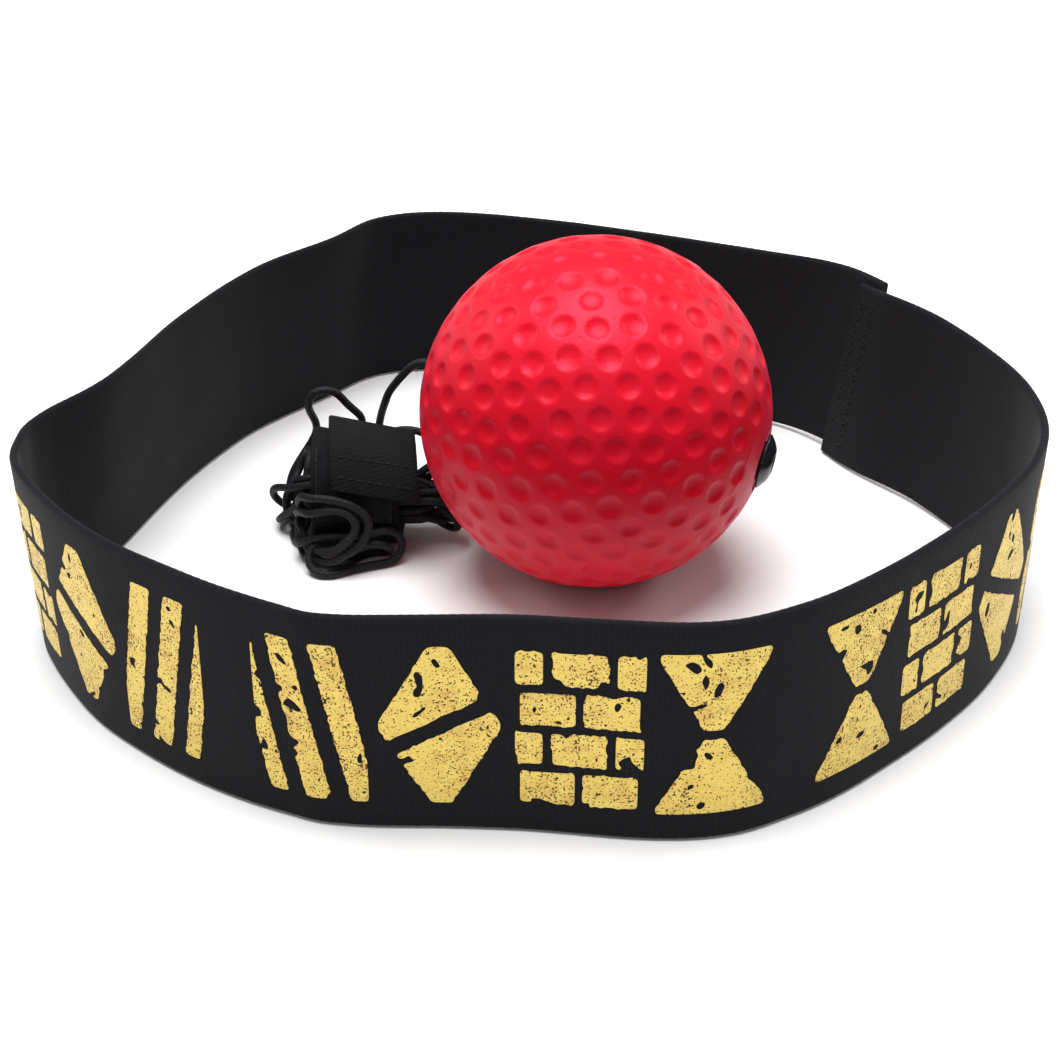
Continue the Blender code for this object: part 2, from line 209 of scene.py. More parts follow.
def skin_faces(rings, sides, closed_rings=False):
    """Quads over rings of points, and where each quad's corners lie on the (ring, side) grid."""
    last = rings if closed_rings else rings - 1
    i, k = np.meshgrid(np.arange(last), np.arange(sides), indexing="ij")
    i, k = i.ravel(), k.ravel()
    corners = [(i, k), (i + 1, k), (i + 1, k + 1), (i, k + 1)]
    quads = np.stack([(a % rings) * sides + b % sides for a, b in corners], axis=1)
    grid = np.stack([np.stack([a, b], axis=1) for a, b in corners], axis=1)
    return quads, grid


def add_skin(name, points, along, across, caps=True, closed_rings=False, sharp=None):
    """A closed skin over points[ring, side, xyz]. along[ring] and across[side] are its weave
    coordinates in metres, with one more value of across, for the way back to the first side."""
    rings, sides = points.shape[:2]
    quads, grid = skin_faces(rings, sides, closed_rings)
    uvs = np.stack([np.asarray(along)[grid[..., 0]], np.asarray(across)[grid[..., 1]]], axis=2)
    faces = quads.tolist()
    uv_list = uvs.reshape(-1, 2)
    if caps and not closed_rings:
        first = list(range(sides))
        last = list(range((rings - 1) * sides, rings * sides))[::-1]
        across = np.asarray(across)
        faces += [first, last]
        cap_one = np.stack([np.full(sides, along[0]), across[:sides]], axis=1)
        cap_two = np.stack([np.full(sides, along[-1]), across[:sides][::-1]], axis=1)
        uv_list = np.vstack([uv_list, cap_one, cap_two])
    made = add_mesh(name, points.reshape(-1, 3), faces, uv_list, sharp=sharp)
    face_outwards(made)
    return made


def face_outwards(made):
    """Turns a closed mesh's faces outwards, keeping its weave coordinates."""
    work = bmesh.new()
    work.from_mesh(made.data)
    if work.calc_volume(signed=True) < 0:
        bmesh.ops.reverse_faces(work, faces=work.faces)
    work.to_mesh(made.data)
    work.free()


def frames_along(path):
    """Two directions square to the path at each point, that don't twist along it."""
    ahead = np.gradient(path, axis=0)
    ahead /= norms(ahead)[:, None]
    side = np.zeros_like(path)
    guess = np.array([0.0, 0.0, 1.0]) if abs(ahead[0, 2]) < 0.9 else np.array([1.0, 0.0, 0.0])
    for i, t in enumerate(ahead):
        guess = guess - t * guess.dot(t)
        guess /= np.linalg.norm(guess)
        side[i] = guess
    return side, np.cross(ahead, side)


def tube_rings(path, radius, sides):
    side, up = frames_along(path)
    turn = TAU * np.arange(sides) / sides
    ring = side[:, None] * np.cos(turn)[None, :, None] + up[:, None] * np.sin(turn)[None, :, None]
    return path[:, None] + ring * radius


def add_tube(name, path, radius, sides=12):
    path = np.asarray(path, float)
    across = radius * TAU * np.arange(sides + 1) / sides
    return add_skin(name, tube_rings(path, radius, sides), lengths_along(path), across)


def add_tubes(name, paths, radius, sides):
    """Many short tubes with pointed ends, as one piece."""
    verts, faces, count = [], [], 0
    for path in paths:
        inner = tube_rings(path, radius, sides)[1:-1]
        quads = skin_faces(len(inner), sides)[0] + count
        last = count + (len(inner) - 1) * sides
        tips = (count + len(inner) * sides, count + len(inner) * sides + 1)
        faces += quads.tolist()
        faces += [(count + (k + 1) % sides, count + k, tips[0])[::-1] for k in range(sides)]
        faces += [(last + k, last + (k + 1) % sides, tips[1])[::-1] for k in range(sides)]
        verts += [inner.reshape(-1, 3), path[:1], path[-1:]]
        count += len(inner) * sides + 2
    made = add_mesh(name, np.vstack(verts), faces)
    face_outwards(made)
    return made


# ---- strap's winding


def tab_offset(angle):
    """From the bundle to the strap's inner face."""
    turns = (np.asarray(angle, float) - TAB_START) / 360
    rise = 2 * PATCH_THICKNESS + 3 * GAP - (TAB_PITCH - TAB_THICKNESS)
    return (
        TAB_CLEARANCE + TAB_PITCH * turns + rise * smoothstep(angle, TAB_RISE_FROM, TAB_RISE_TO)
    )


def tab_middle(angle):
    share = (np.asarray(angle, float) - TAB_DRIFT_FROM) / (TAB_END - TAB_DRIFT_FROM)
    return TAB_X_INNER + (TAB_X_END - TAB_X_INNER) * np.clip(share, 0.0, None) ** TAB_DRIFT_POWER


def squarish(angle):
    """A point of the rounded square that the strap is wound on, and its outward normal."""
    turn = np.radians(angle)
    c, s = np.cos(turn), np.sin(turn)
    power = 2 / TAB_SQUARENESS
    point = np.stack([np.sign(c) * np.abs(c) ** power, np.sign(s) * np.abs(s) ** power]) * TAB_HALF
    normal = np.stack([np.sign(c) * np.abs(c) ** (2 - power), np.sign(s) * np.abs(s) ** (2 - power)])
    return point, normal / np.linalg.norm(normal, axis=0)


def tab_point(angle, offset, x):
    """The winding is a cone that lies level on the floor, so its axis rises as it widens."""
    (y, z), (ny, nz) = squarish(np.asarray(angle, float))
    swell = TAB_CONE * (TAB_NARROW_X - x)
    out = offset + swell
    return np.stack([x, TAB_CENTRE[0] + y + ny * out, TAB_CENTRE[1] + swell + z + nz * out], -1)


# ---- cord

# All in millimetres until the tube is made. The lead repeats the part's route.
CORD_MOUTH = tuple((BALL_CENTRE - BALL_RADIUS * Vector((0.941698, -0.29511, -0.161604))) / MM)
LEAD_ROUTE = (
    CORD_MOUTH, (-20.4, 7.8, 36.8), (-22.3, 8.6, 35.7), (-24.0, 9.7, 33.5),
    (-25.6, 11.2, 31.0), (-27.2, 13.6, 27.8), (-28.3, 16.4, 24.1), (-29.2, 19.0, 20.7),
    (-29.9, 21.0, 17.2), (-30.6, 22.0, 13.0), (-31.8, 22.3, 8.6), (-34.0, 22.2, 4.8),
    (-37.6, 21.5, 2.2), (-42.0, 20.4, 1.0), (-46.0, 19.0, 1.6),
)
# The loop that stands up behind the strap, and its way round the back to the left end.
STANDING_ROUTE = (
    (-47.6, 18.6, 4.2), (-46.8, 19.4, 7.8), (-44.6, 20.8, 11.2), (-42.5, 21.4, 14.4),
    (-41.8, 20.9, 16.9), (-42.1, 20.0, 19.0), (-42.7, 18.6, 21.3), (-42.8, 17.4, 23.3),
    (-42.2, 16.6, 25.4), (-40.9, 16.2, 26.7), (-39.0, 16.2, 27.1), (-37.3, 16.8, 26.1),
    (-36.1, 17.8, 24.1), (-35.2, 19.2, 22.1), (-34.0, 20.5, 20.2), (-32.8, 21.8, 17.8),
    (-32.9, 23.2, 14.4), (-34.6, 23.6, 10.6), (-37.8, 22.6, 7.6), (-41.6, 20.0, 6.0),
    (-44.6, 16.6, 6.6), (-45.4, 14.2, 9.4),
)
# Each pass through the waist, left to right and back by turns: an angle from +Y towards +Z
# and a distance from the middle. Before each but the first is the loop that leads to it,
# given by its tip, or point by point.
HANK_PASSES = (
    (22.5, 4.5), (180.0, 4.5), (337.5, 4.5), (135.0, 4.5), (292.5, 4.5), (90.0, 4.5),
    (247.5, 4.5), (45.0, 4.5), (202.5, 4.5), (0.0, 4.5), (157.5, 4.5), (315.0, 4.5),
    (112.5, 4.5), (270.0, 4.5), (67.5, 4.5), (225.0, 4.5), (350.0, 2.6),
)
BACK_ARCH = (
    (-18.2, 14.6, 12.6), (-18.6, 17.2, 14.6), (-20.4, 18.8, 16.8), (-23.0, 19.2, 18.2),
    (-25.6, 19.4, 18.8), (-27.8, 20.0, 18.0), (-28.6, 21.2, 15.2), (-27.6, 21.6, 11.4),
    (-24.2, 20.4, 8.2), (-19.8, 17.4, 7.0), (-16.8, 12.6, 8.0), (-17.2, 8.0, 9.4),
)
FRONT_ARC_WIDE = (
    (-44.2, 4.4, 12.0), (-43.0, 0.2, 13.4), (-40.8, -2.9, 14.4), (-38.4, -3.7, 14.8),
    (-35.8, -3.9, 14.4), (-33.5, -3.9, 13.5), (-31.8, -3.9, 12.3), (-30.6, -4.1, 10.9),
    (-30.3, -4.5, 9.3), (-30.8, -5.1, 7.8), (-32.0, -5.7, 6.3), (-33.8, -6.2, 5.1),
    (-35.8, -6.6, 3.9), (-38.0, -6.4, 2.8), (-40.4, -4.4, 2.4), (-42.8, 0.2, 2.6),
    (-44.6, 5.8, 3.4), (-45.2, 10.6, 5.2),
)
FRONT_ARC_NARROW = (
    (-44.4, 6.0, 8.6), (-43.4, 0.8, 9.8), (-41.4, -3.0, 11.2), (-38.8, -4.1, 12.4),
    (-35.6, -4.2, 12.6), (-33.4, -4.4, 11.4), (-32.6, -5.0, 9.8), (-33.0, -5.8, 8.4),
    (-34.8, -6.3, 6.9), (-37.0, -6.3, 5.2), (-39.8, -4.8, 4.4), (-42.4, -0.6, 4.4),
    (-44.4, 5.4, 5.6), (-44.6, 10.6, 7.6),
)
FRONT_ARC_LOW = (
    (-44.0, 4.4, 5.2), (-42.8, -0.4, 6.0), (-40.6, -3.4, 7.0), (-36.6, -3.4, 8.0),
    (-32.4, -2.9, 8.0), (-28.4, -2.3, 7.4), (-25.4, -1.5, 6.0), (-23.9, -0.9, 4.2),
    (-24.1, -1.0, 2.2), (-26.2, -1.8, 1.1), (-29.6, -3.4, 0.8), (-33.4, -5.0, 0.8),
    (-36.4, -6.4, 0.8), (-38.8, -6.0, 0.8), (-41.2, -3.4, 1.4), (-41.4, -3.2, 3.4),
    (-38.6, -4.2, 5.4), (-34.4, -3.6, 6.2), (-30.2, -2.9, 5.6), (-26.6, -1.4, 4.6),
    (-25.8, -0.2, 2.6), (-28.0, 0.2, 1.0), (-32.0, -1.6, 0.8), (-36.0, -3.6, 0.8),
    (-39.8, -3.0, 0.8), (-42.8, 0.8, 0.8), (-45.0, 7.2, 1.6), (-44.8, 12.0, 4.2),
)
SIDE_COIL = (
    (-43.4, 12.9, 11.0), (-45.0, 13.3, 9.4), (-46.0, 14.7, 8.2), (-45.9, 16.6, 8.3),
    (-45.2, 18.0, 9.6), (-44.3, 18.4, 11.6), (-43.5, 17.6, 13.5), (-42.8, 15.7, 14.7),
    (-42.6, 13.4, 14.4), (-43.0, 11.2, 13.1), (-44.0, 9.4, 11.5), (-44.4, 7.4, 9.8),
    (-43.5, 5.5, 8.4),
)
HANK_LOOPS = (
    BACK_ARCH, FRONT_ARC_WIDE, (-15.4, 10.0, 10.0), FRONT_ARC_LOW, (-15.4, 9.0, 6.0),
    (-47.8, 11.0, 6.6), (-15.6, 12.0, 12.0), SIDE_COIL, (-15.2, 12.0, 5.0),
    (-48.8, 14.2, 2.8), (-16.0, 6.5, 9.0), (-49.8, 15.4, 5.4), (-15.0, 7.5, 4.0),
    (-46.8, 11.0, 1.4), (-16.0, 11.0, 14.4), FRONT_ARC_NARROW,
)
LEFT_EDGE, RIGHT_EDGE = -41.8, -19.6
WAIST_STATIONS = (-35.0, -28.0)
CORD_TUCKED_IN = -31.0  # where the cord's end is sewn down in its last pass
LOOP_SWELL = 0.32
LOOP_MARGIN = 0.42  # of a half turn, in radians, left off each end of a loop
HELD_POINTS = 16  # of the standing loop's route, where it keeps the shape given here
HELD_WITHIN = 0.3
CORD_STEP = 1.0
CORD_ACROSS = CORD_DIAMETER / MM

# The relaxation. Radii are squarish ones about the strap's axis.
PASS_RADIUS = 4.8  # passes through the strap stay within this
GRIPPED_RADIUS = 6.2  # a point that starts within this is in the strap's grip
OUTSIDE_MARGIN = 1.0  # from the strap's outer face to cord outside it
STRAP_COVERS = (-42.6, -19.2)  # along X
SAG = 0.004  # each round
FLOOR_MARGIN = 0.02
BEND_LIMITS = ((3, 2.92), (5, 4.65), (7, 5.80))  # points this far along stay this many steps apart
BEND_PUSH = 0.3
SMOOTHING = 0.12
SPACING = 1.02  # in diameters
SPACING_PUSH = 0.6
LONGEST_PUSH = 0.4
NEAR = 2.6  # pairs this near are watched
PAIRS_FOR = 8  # rounds between looks for near pairs


def waist_point(x, place):
    turn = math.radians(place[0])
    return (
        x,
        TAB_CENTRE[0] / MM + place[1] * math.cos(turn),
        TAB_CENTRE[1] / MM + place[1] * math.sin(turn),
    )


def end_loop(start, end, tip, swell):
    """Points round a loop from start to end, wider than the gap between them."""
    start, end, tip = (np.array(p, float) for p in (start, end, tip))
    middle, half = (start + end) / 2, (start - end) / 2
    found = []
    for turn in np.linspace(LOOP_MARGIN, math.pi - LOOP_MARGIN, 7):
        width = math.cos(turn) * (1 + swell * math.sin(turn))
        found.append(middle + half * width + (tip - middle) * math.sin(turn) ** 0.9)
    return found


def cord_route():
    points = list(LEAD_ROUTE) + list(STANDING_ROUTE)
    for i, place in enumerate(HANK_PASSES):
        rightwards = i % 2 == 0
        sides = (LEFT_EDGE, RIGHT_EDGE) if rightwards else (RIGHT_EDGE, LEFT_EDGE)
        stations = WAIST_STATIONS if rightwards else WAIST_STATIONS[::-1]
        start = waist_point(sides[0], place)
        if i > 0:
            loop = HANK_LOOPS[i - 1]
            before = waist_point(sides[0], HANK_PASSES[i - 1])
            points += list(loop) if len(loop) > 3 else end_loop(before, start, loop, LOOP_SWELL)
        points.append(start)
        if i == len(HANK_PASSES) - 1:
            points += [waist_point(x, place) for x in (WAIST_STATIONS[0], CORD_TUCKED_IN)]
        else:
            points += [waist_point(x, place) for x in (*stations, sides[1])]
    return spaced(through(np.array([tuple(p) for p in points])), CORD_STEP)


def held_places(line):
    """Which points of the cord keep the shape given: the lead, the standing loop, two of the
    front arcs and the coil beside the strap."""
    shown = through(np.array(LEAD_ROUTE + STANDING_ROUTE[:HELD_POINTS]))
    held = np.arange(len(line)) * CORD_STEP < lengths_along(shown)[-1]
    for arc in (FRONT_ARC_WIDE, FRONT_ARC_NARROW, SIDE_COIL):
        curve = through(np.array(arc[1:-3]))
        held |= norms(line[:, None] - curve[None]).min(axis=1) < HELD_WITHIN
    return held


def strap_reach(y, z):
    """The squarish radius of the strap's outer face in the direction of (y, z), at its narrow
    end."""
    angle = np.degrees(np.arctan2(z, y)) % 360 + 720
    angle = np.where(angle > TAB_END, angle - 360, angle)
    return (TAB_HALF + tab_offset(angle) + TAB_THICKNESS) / MM


def close_pairs(points, reach):
    """Pairs of points of the cord that lie near each other, other than along it."""
    apart = ((points[:, None] - points[None]) ** 2).sum(axis=2)
    return np.nonzero(np.triu(apart < reach * reach, 4))


def squarish_radius(y, z):
    return np.cbrt(np.abs(y) ** 3 + np.abs(z) ** 3)


def settle(points, held, rounds=400):
    """Lets the wound cord find its place: its turns push each other a diameter apart, it
    keeps its length, doesn't bend sharply, rests on the floor and stays in the strap's grip."""
    p = points.copy()
    free = (~held).astype(float)
    rest = norms(np.diff(p, axis=0)).mean()
    y0, z0 = TAB_CENTRE[0] / MM, TAB_CENTRE[1] / MM
    gripped = squarish_radius(p[:, 1] - y0, p[:, 2] - z0) < GRIPPED_RADIUS
    for turn in range(rounds):
        if turn % PAIRS_FOR == 0:
            one, two = close_pairs(p, NEAR)
        p[:, 2] -= SAG * free
        for gap, least in BEND_LIMITS:
            between = p[gap:] - p[:-gap]
            far = norms(between)
            push = between * (np.clip(least * rest - far, 0, None) / far * BEND_PUSH)[:, None]
            p[gap:] += push * free[gap:, None]
            p[:-gap] -= push * free[:-gap, None]
        p[1:-1] += SMOOTHING * ((p[:-2] + p[2:]) / 2 - p[1:-1]) * free[1:-1, None]
        between = p[two] - p[one]
        far = np.maximum(norms(between), 1e-6)
        push = between * (np.clip(CORD_ACROSS * SPACING - far, 0, None) / far)[:, None]
        share = np.maximum(free[one] + free[two], 1e-9)
        moved = np.zeros_like(p)
        np.add.at(moved, two, push * (free[two] / share)[:, None])
        np.add.at(moved, one, -push * (free[one] / share)[:, None])
        p += np.clip(moved * SPACING_PUSH, -LONGEST_PUSH, LONGEST_PUSH)
        swell = TAB_CONE * np.clip(TAB_NARROW_X / MM - p[:, 0], 0, None) * ~gripped
        y, z = p[:, 1] - y0, p[:, 2] - z0 - swell
        radius = np.maximum(squarish_radius(y, z), 1e-6)
        at_strap = (p[:, 0] > STRAP_COVERS[0]) & (p[:, 0] < STRAP_COVERS[1]) & (free > 0)
        outside = strap_reach(y, z) + swell + OUTSIDE_MARGIN
        scale = np.where(at_strap & gripped & (radius > PASS_RADIUS), PASS_RADIUS / radius, 1.0)
        scale = np.where(at_strap & ~gripped & (radius < outside), outside / radius, scale)
        p[:, 1], p[:, 2] = y0 + y * scale, z0 + swell + z * scale
        for _ in range(4):
            for first in (0, 1):
                a, b = slice(first, len(p) - 1, 2), slice(first + 1, len(p), 2)
                between = p[b] - p[a]
                far = norms(between)
                share = np.maximum(free[a] + free[b], 1e-9)
                pull = between * ((far - rest) / far * 0.5)[:, None]
                p[b] -= pull * (free[b] / share)[:, None]
                p[a] += pull * (free[a] / share)[:, None]
        p[:, 2] = np.where(free > 0, np.maximum(p[:, 2], CORD_ACROSS / 2 + FLOOR_MARGIN), p[:, 2])
    return p


def softened(points):
    """The line with its corners rounded over a few points."""
    weights = np.exp(-0.5 * np.arange(-4, 5) ** 2.0)
    weights /= weights.sum()
    padded = np.vstack([np.repeat(points[:1], 4, 0), points, np.repeat(points[-1:], 4, 0)])
    return np.stack([np.convolve(padded[:, k], weights, "valid") for k in range(3)], axis=1)


def build_cord():
    route = cord_route()
    path = softened(settle(route, held_places(route))) * MM
    path = spaced(through(path, steps=3), 0.0006)
    made = add_tube("cord", path, CORD_DIAMETER / 2, 12)
    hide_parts("cord_lead", "cord_hank")
    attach(made, "cord_set")
    return made


# ---- materials


class Finish:
    """A material being put together from nodes."""

    def __init__(self, name, colour, roughness, specular=0.5, sheen=0.0):
        self.material = bpy.data.materials.new(name)
        self.material.use_nodes = True
        self.tree = self.material.node_tree
        self.shader = self.tree.nodes["Principled BSDF"]
        self.shader.inputs["Base Color"].default_value = (*colour, 1.0)
        self.shader.inputs["Roughness"].default_value = roughness
        self.shader.inputs["Specular IOR Level"].default_value = specular
        self.shader.inputs["Sheen Weight"].default_value = sheen
        self.shader.inputs["Sheen Roughness"].default_value = 0.4

    def node(self, kind, settings=None, **inputs):
        made = self.tree.nodes.new(kind)
        for name, value in (settings or {}).items():
            setattr(made, name, value)
        for name, value in inputs.items():
            socket = made.inputs[int(name[1:])] if name[0] == "_" else made.inputs[name]
            self.give(socket, value)
        return made

    def give(self, socket, value):
        if isinstance(value, bpy.types.NodeSocket):
            self.tree.links.new(value, socket)
        else:
            socket.default_value = value

    def maths(self, operation, *values):
        made = self.node("ShaderNodeMath", {"operation": operation})
        for socket, value in zip(made.inputs, values):
            self.give(socket, value)
        return made.outputs[0]

    def times(self, one, two):
        return self.maths("MULTIPLY", one, two)

    def plus(self, one, two):
        return self.maths("ADD", one, two)

    def minus(self, one, two):
        return self.maths("SUBTRACT", one, two)

    def weave(self):
        """The strip's own coordinates, along it and across it, in metres."""
        spot = self.node("ShaderNodeUVMap", {"uv_map": "weave"})
        parts = self.node("ShaderNodeSeparateXYZ", _0=spot.outputs[0])
        return spot.outputs[0], parts.outputs[0], parts.outputs[1]

    def place(self):
        return self.node("ShaderNodeTexCoord").outputs["Object"]

    def noise(self, where, scale, detail=3.0, roughness=0.5):
        made = self.node("ShaderNodeTexNoise", Vector=where, Scale=scale)
        made.inputs["Detail"].default_value = detail
        made.inputs["Roughness"].default_value = roughness
        return made.outputs["Fac"]

    def ridges(self, value, pitch, power=1.0):
        """0 to 1 and back for every pitch of value."""
        phase = self.times(value, math.pi / pitch)
        wave = self.maths("ABSOLUTE", self.maths("SINE", phase))
        return self.maths("POWER", wave, power) if power != 1.0 else wave

    def between(self, share, low, high):
        """The share, stretched so that low is 0 and high is 1."""
        made = self.node("ShaderNodeMapRange", Value=share)
        made.inputs["From Min"].default_value = low
        made.inputs["From Max"].default_value = high
        return made.outputs[0]

    def mix(self, share, one, two):
        made = self.node("ShaderNodeMix", {"data_type": "RGBA"})
        self.give(made.inputs[0], share)
        for socket, value in ((made.inputs[6], one), (made.inputs[7], two)):
            self.give(socket, (*value, 1.0) if isinstance(value, tuple) else value)
        return made.outputs[2]

    def colour(self, value):
        self.give(self.shader.inputs["Base Color"], value)

    def rough(self, share, low, high):
        made = self.node("ShaderNodeMapRange", Value=share)
        made.inputs["To Min"].default_value = low
        made.inputs["To Max"].default_value = high
        self.give(self.shader.inputs["Roughness"], made.outputs[0])

    def relief(self, height, depth):
        """Bump, depth in metres."""
        made = self.node("ShaderNodeBump", Height=height)
        made.inputs["Strength"].default_value = 1.0
        made.inputs["Distance"].default_value = depth
        self.give(self.shader.inputs["Normal"], made.outputs[0])


def elastic_finish():
    """Black woven elastic: fine uneven ribs across the strip, faint lines along it, some lint."""
    f = Finish("woven_elastic_black", (0.006, 0.006, 0.008), 0.9, specular=0.14, sheen=0.06)
    spot, along, across = f.weave()
    slow = f.noise(spot, 140.0, 4.0)
    shift = f.times(f.noise(spot, 1300.0, 2.0), 0.0007)
    ribs = f.ridges(f.plus(along, shift), 0.00078)
    warp = f.ridges(f.plus(across, shift), 0.00066)
    slanting = f.plus(f.times(across, 0.62), f.plus(along, shift))
    twill = f.ridges(slanting, 0.00156)
    yarns = f.noise(spot, 2600.0, 2.0, 0.6)
    cloth = f.plus(f.times(ribs, 0.30), f.times(warp, 0.15))
    cloth = f.plus(cloth, f.times(twill, 0.20))
    cloth = f.plus(cloth, f.times(yarns, 0.70))
    tone = f.mix(f.between(cloth, 0.3, 1.1), (0.0030, 0.0030, 0.0045), (0.0085, 0.0085, 0.0110))
    tone = f.mix(f.times(f.between(slow, 0.35, 0.75), 0.25), tone, (0.0110, 0.0110, 0.0140))
    lint = f.between(f.noise(spot, 2300.0, 1.0), 0.82, 0.87)
    tone = f.mix(f.times(lint, 0.4), tone, (0.08, 0.08, 0.08))
    f.colour(tone)
    f.rough(slow, 0.82, 0.95)
    f.relief(cloth, 0.00005)
    return f.material


def strand_finish(name, blue, roughness, scale, roughest, depth):
    """Plain fuzzy strands: sewing thread, and cord where it is hidden."""
    f = Finish(name, (0.008, 0.008, 0.004 + blue), roughness, specular=0.2)
    fuzz = f.noise(f.place(), scale, 3.0)
    f.colour(f.mix(fuzz, (0.004, 0.004, blue), (0.014, 0.014, 0.012 + blue)))
    f.rough(fuzz, 0.45, roughest)
    f.relief(fuzz, depth)
    return f.material


def thread_finish():
    return strand_finish("sewing_thread_black", 0.005, 0.7, 2600.0, 0.75, 0.00004)


def foam_finish():
    """Red moulded foam with a fine skin."""
    f = Finish("red_foam_skin", (0.60, 0.002, 0.012), 0.42, specular=0.27, sheen=0.06)
    f.shader.inputs["Sheen Tint"].default_value = (1.0, 0.30, 0.70, 1.0)
    f.shader.inputs["Specular Tint"].default_value = (1.0, 0.50, 0.85, 1.0)
    where = f.place()
    broad = f.noise(where, 60.0, 3.0)
    skin = f.noise(where, 1500.0, 4.0, 0.6)
    pores = f.between(f.noise(where, 900.0, 1.0), 0.70, 0.80)
    tone = f.mix(f.between(broad, 0.3, 0.7), (0.56, 0.0015, 0.010), (0.64, 0.0025, 0.015))
    tone = f.mix(f.times(pores, 0.25), tone, (0.25, 0.002, 0.006))
    f.colour(tone)
    f.rough(skin, 0.34, 0.50)
    f.relief(f.minus(skin, f.times(pores, 0.6)), 0.00006)
    return f.material


def plastic_finish():
    f = Finish("black_plastic_gloss", (0.010, 0.010, 0.012), 0.2, specular=0.5)
    where = f.place()
    scuffs = f.noise(where, 700.0, 5.0, 0.7)
    f.colour(f.mix(f.between(scuffs, 0.4, 0.7), (0.008, 0.008, 0.010), (0.016, 0.016, 0.019)))
    f.rough(f.between(scuffs, 0.35, 0.75), 0.12, 0.34)
    f.relief(scuffs, 0.00001)
    return f.material


def cord_finish():
    """Braided cover: two sets of strands crossing round the cord."""
    f = Finish("elastic_cord_braid", (0.008, 0.008, 0.010), 0.6, specular=0.2, sheen=0.03)
    spot, along, around = f.weave()
    one = f.ridges(f.plus(along, around), 0.00118)
    two = f.ridges(f.minus(along, around), 0.00118)
    braid = f.maths("MAXIMUM", one, two)
    fuzz = f.noise(spot, 1800.0, 2.0)
    f.colour(f.mix(f.times(braid, fuzz), (0.0030, 0.0030, 0.0045), (0.0150, 0.0150, 0.0185)))
    f.rough(fuzz, 0.45, 0.75)
    f.relief(braid, 0.00007)
    return f.material


def plain_cord_finish():
    return strand_finish("elastic_cord_hidden", 0.006, 0.6, 1800.0, 0.70, 0.00006)


def webbing_finish():
    """Ribbed tape: yarns along each rib, the crests slightly lighter as a painted highlight, with
    painted shade in the grooves between them.
    """
    f = Finish("ribbed_webbing_black", (0.005, 0.005, 0.006), 0.8, specular=0.12, sheen=0.03)
    spot, along, across = f.weave()
    painted_crest_highlight = f.ridges(f.plus(along, f.times(across, RIB_SKEW)), RIB_PITCH)
    yarn = f.ridges(across, 0.00045)
    slow = f.noise(spot, 500.0, 4.0)
    # painted highlight: the rib crests are coloured lighter and the grooves darker, as light falls on
    # the ribs
    tone = f.mix(painted_crest_highlight, (0.0015, 0.0015, 0.0020), (0.0060, 0.0060, 0.0070))
    lighter = f.times(slow, f.times(yarn, 0.7))
    tone = f.mix(lighter, tone, (0.0095, 0.0095, 0.0110))
    f.colour(tone)
    f.rough(slow, 0.70, 0.90)
    f.relief(f.plus(yarn, f.times(slow, 0.6)), 0.00006)
    return f.material


def pile_finish():
    """Hook-and-loop pile: a mat of fine loops with no grid to it."""
    f = Finish("hook_and_loop_pile", (0.006, 0.006, 0.007), 0.95, specular=0.1, sheen=0.12)
    where = f.place()
    mat = f.noise(where, 2400.0, 4.0, 0.7)
    clumps = f.noise(where, 700.0, 3.0)
    f.colour(f.mix(f.times(mat, clumps), (0.003, 0.003, 0.004), (0.018, 0.018, 0.021)))
    f.rough(mat, 0.8, 1.0)
    f.relief(f.plus(mat, f.times(clumps, 0.6)), 0.00018)
    return f.material


def foil_finish():
    """Worn gold print: the cloth's weave shows through it, peppered with dark specks."""
    f = Finish("gold_print_worn", (0.40, 0.27, 0.06), 0.45, specular=0.4)
    spot, along, across = f.weave()
    broad = f.noise(spot, 110.0, 3.0)
    cloud = f.noise(spot, 420.0, 3.0)
    grains = f.noise(spot, 3400.0, 2.0, 0.7)
    ribs = f.ridges(along, 0.00078)
    warp = f.ridges(across, 0.00066)
    cloth = f.plus(f.times(ribs, 0.5), f.times(warp, 0.5))
    tone = f.mix(f.between(cloud, 0.34, 0.66), (0.52, 0.27, 0.035), (0.76, 0.57, 0.11))
    tone = f.mix(f.between(broad, 0.30, 0.70), tone, (0.70, 0.50, 0.085))
    tone = f.mix(f.times(f.between(grains, 0.42, 0.60), 0.40), tone, (0.84, 0.71, 0.26))
    density = f.between(broad, 0.72, 0.30)
    where = f.place()
    dots = f.noise(where, 3300.0, 0.0)
    specks = f.between(f.plus(dots, f.times(density, 0.13)), 0.71, 0.77)
    pits = f.between(f.noise(where, 1300.0, 0.0), 0.785, 0.80)
    worn = f.maths("MAXIMUM", specks, pits)
    tone = f.mix(specks, tone, (0.085, 0.046, 0.012))
    f.colour(f.mix(pits, tone, (0.020, 0.013, 0.006)))
    shine = f.times(f.minus(1.0, worn), 0.30)
    f.give(f.shader.inputs["Metallic"], shine)
    f.rough(worn, 0.42, 0.85)
    f.relief(f.minus(cloth, worn), 0.00006)
    return f.material


# ---- headband


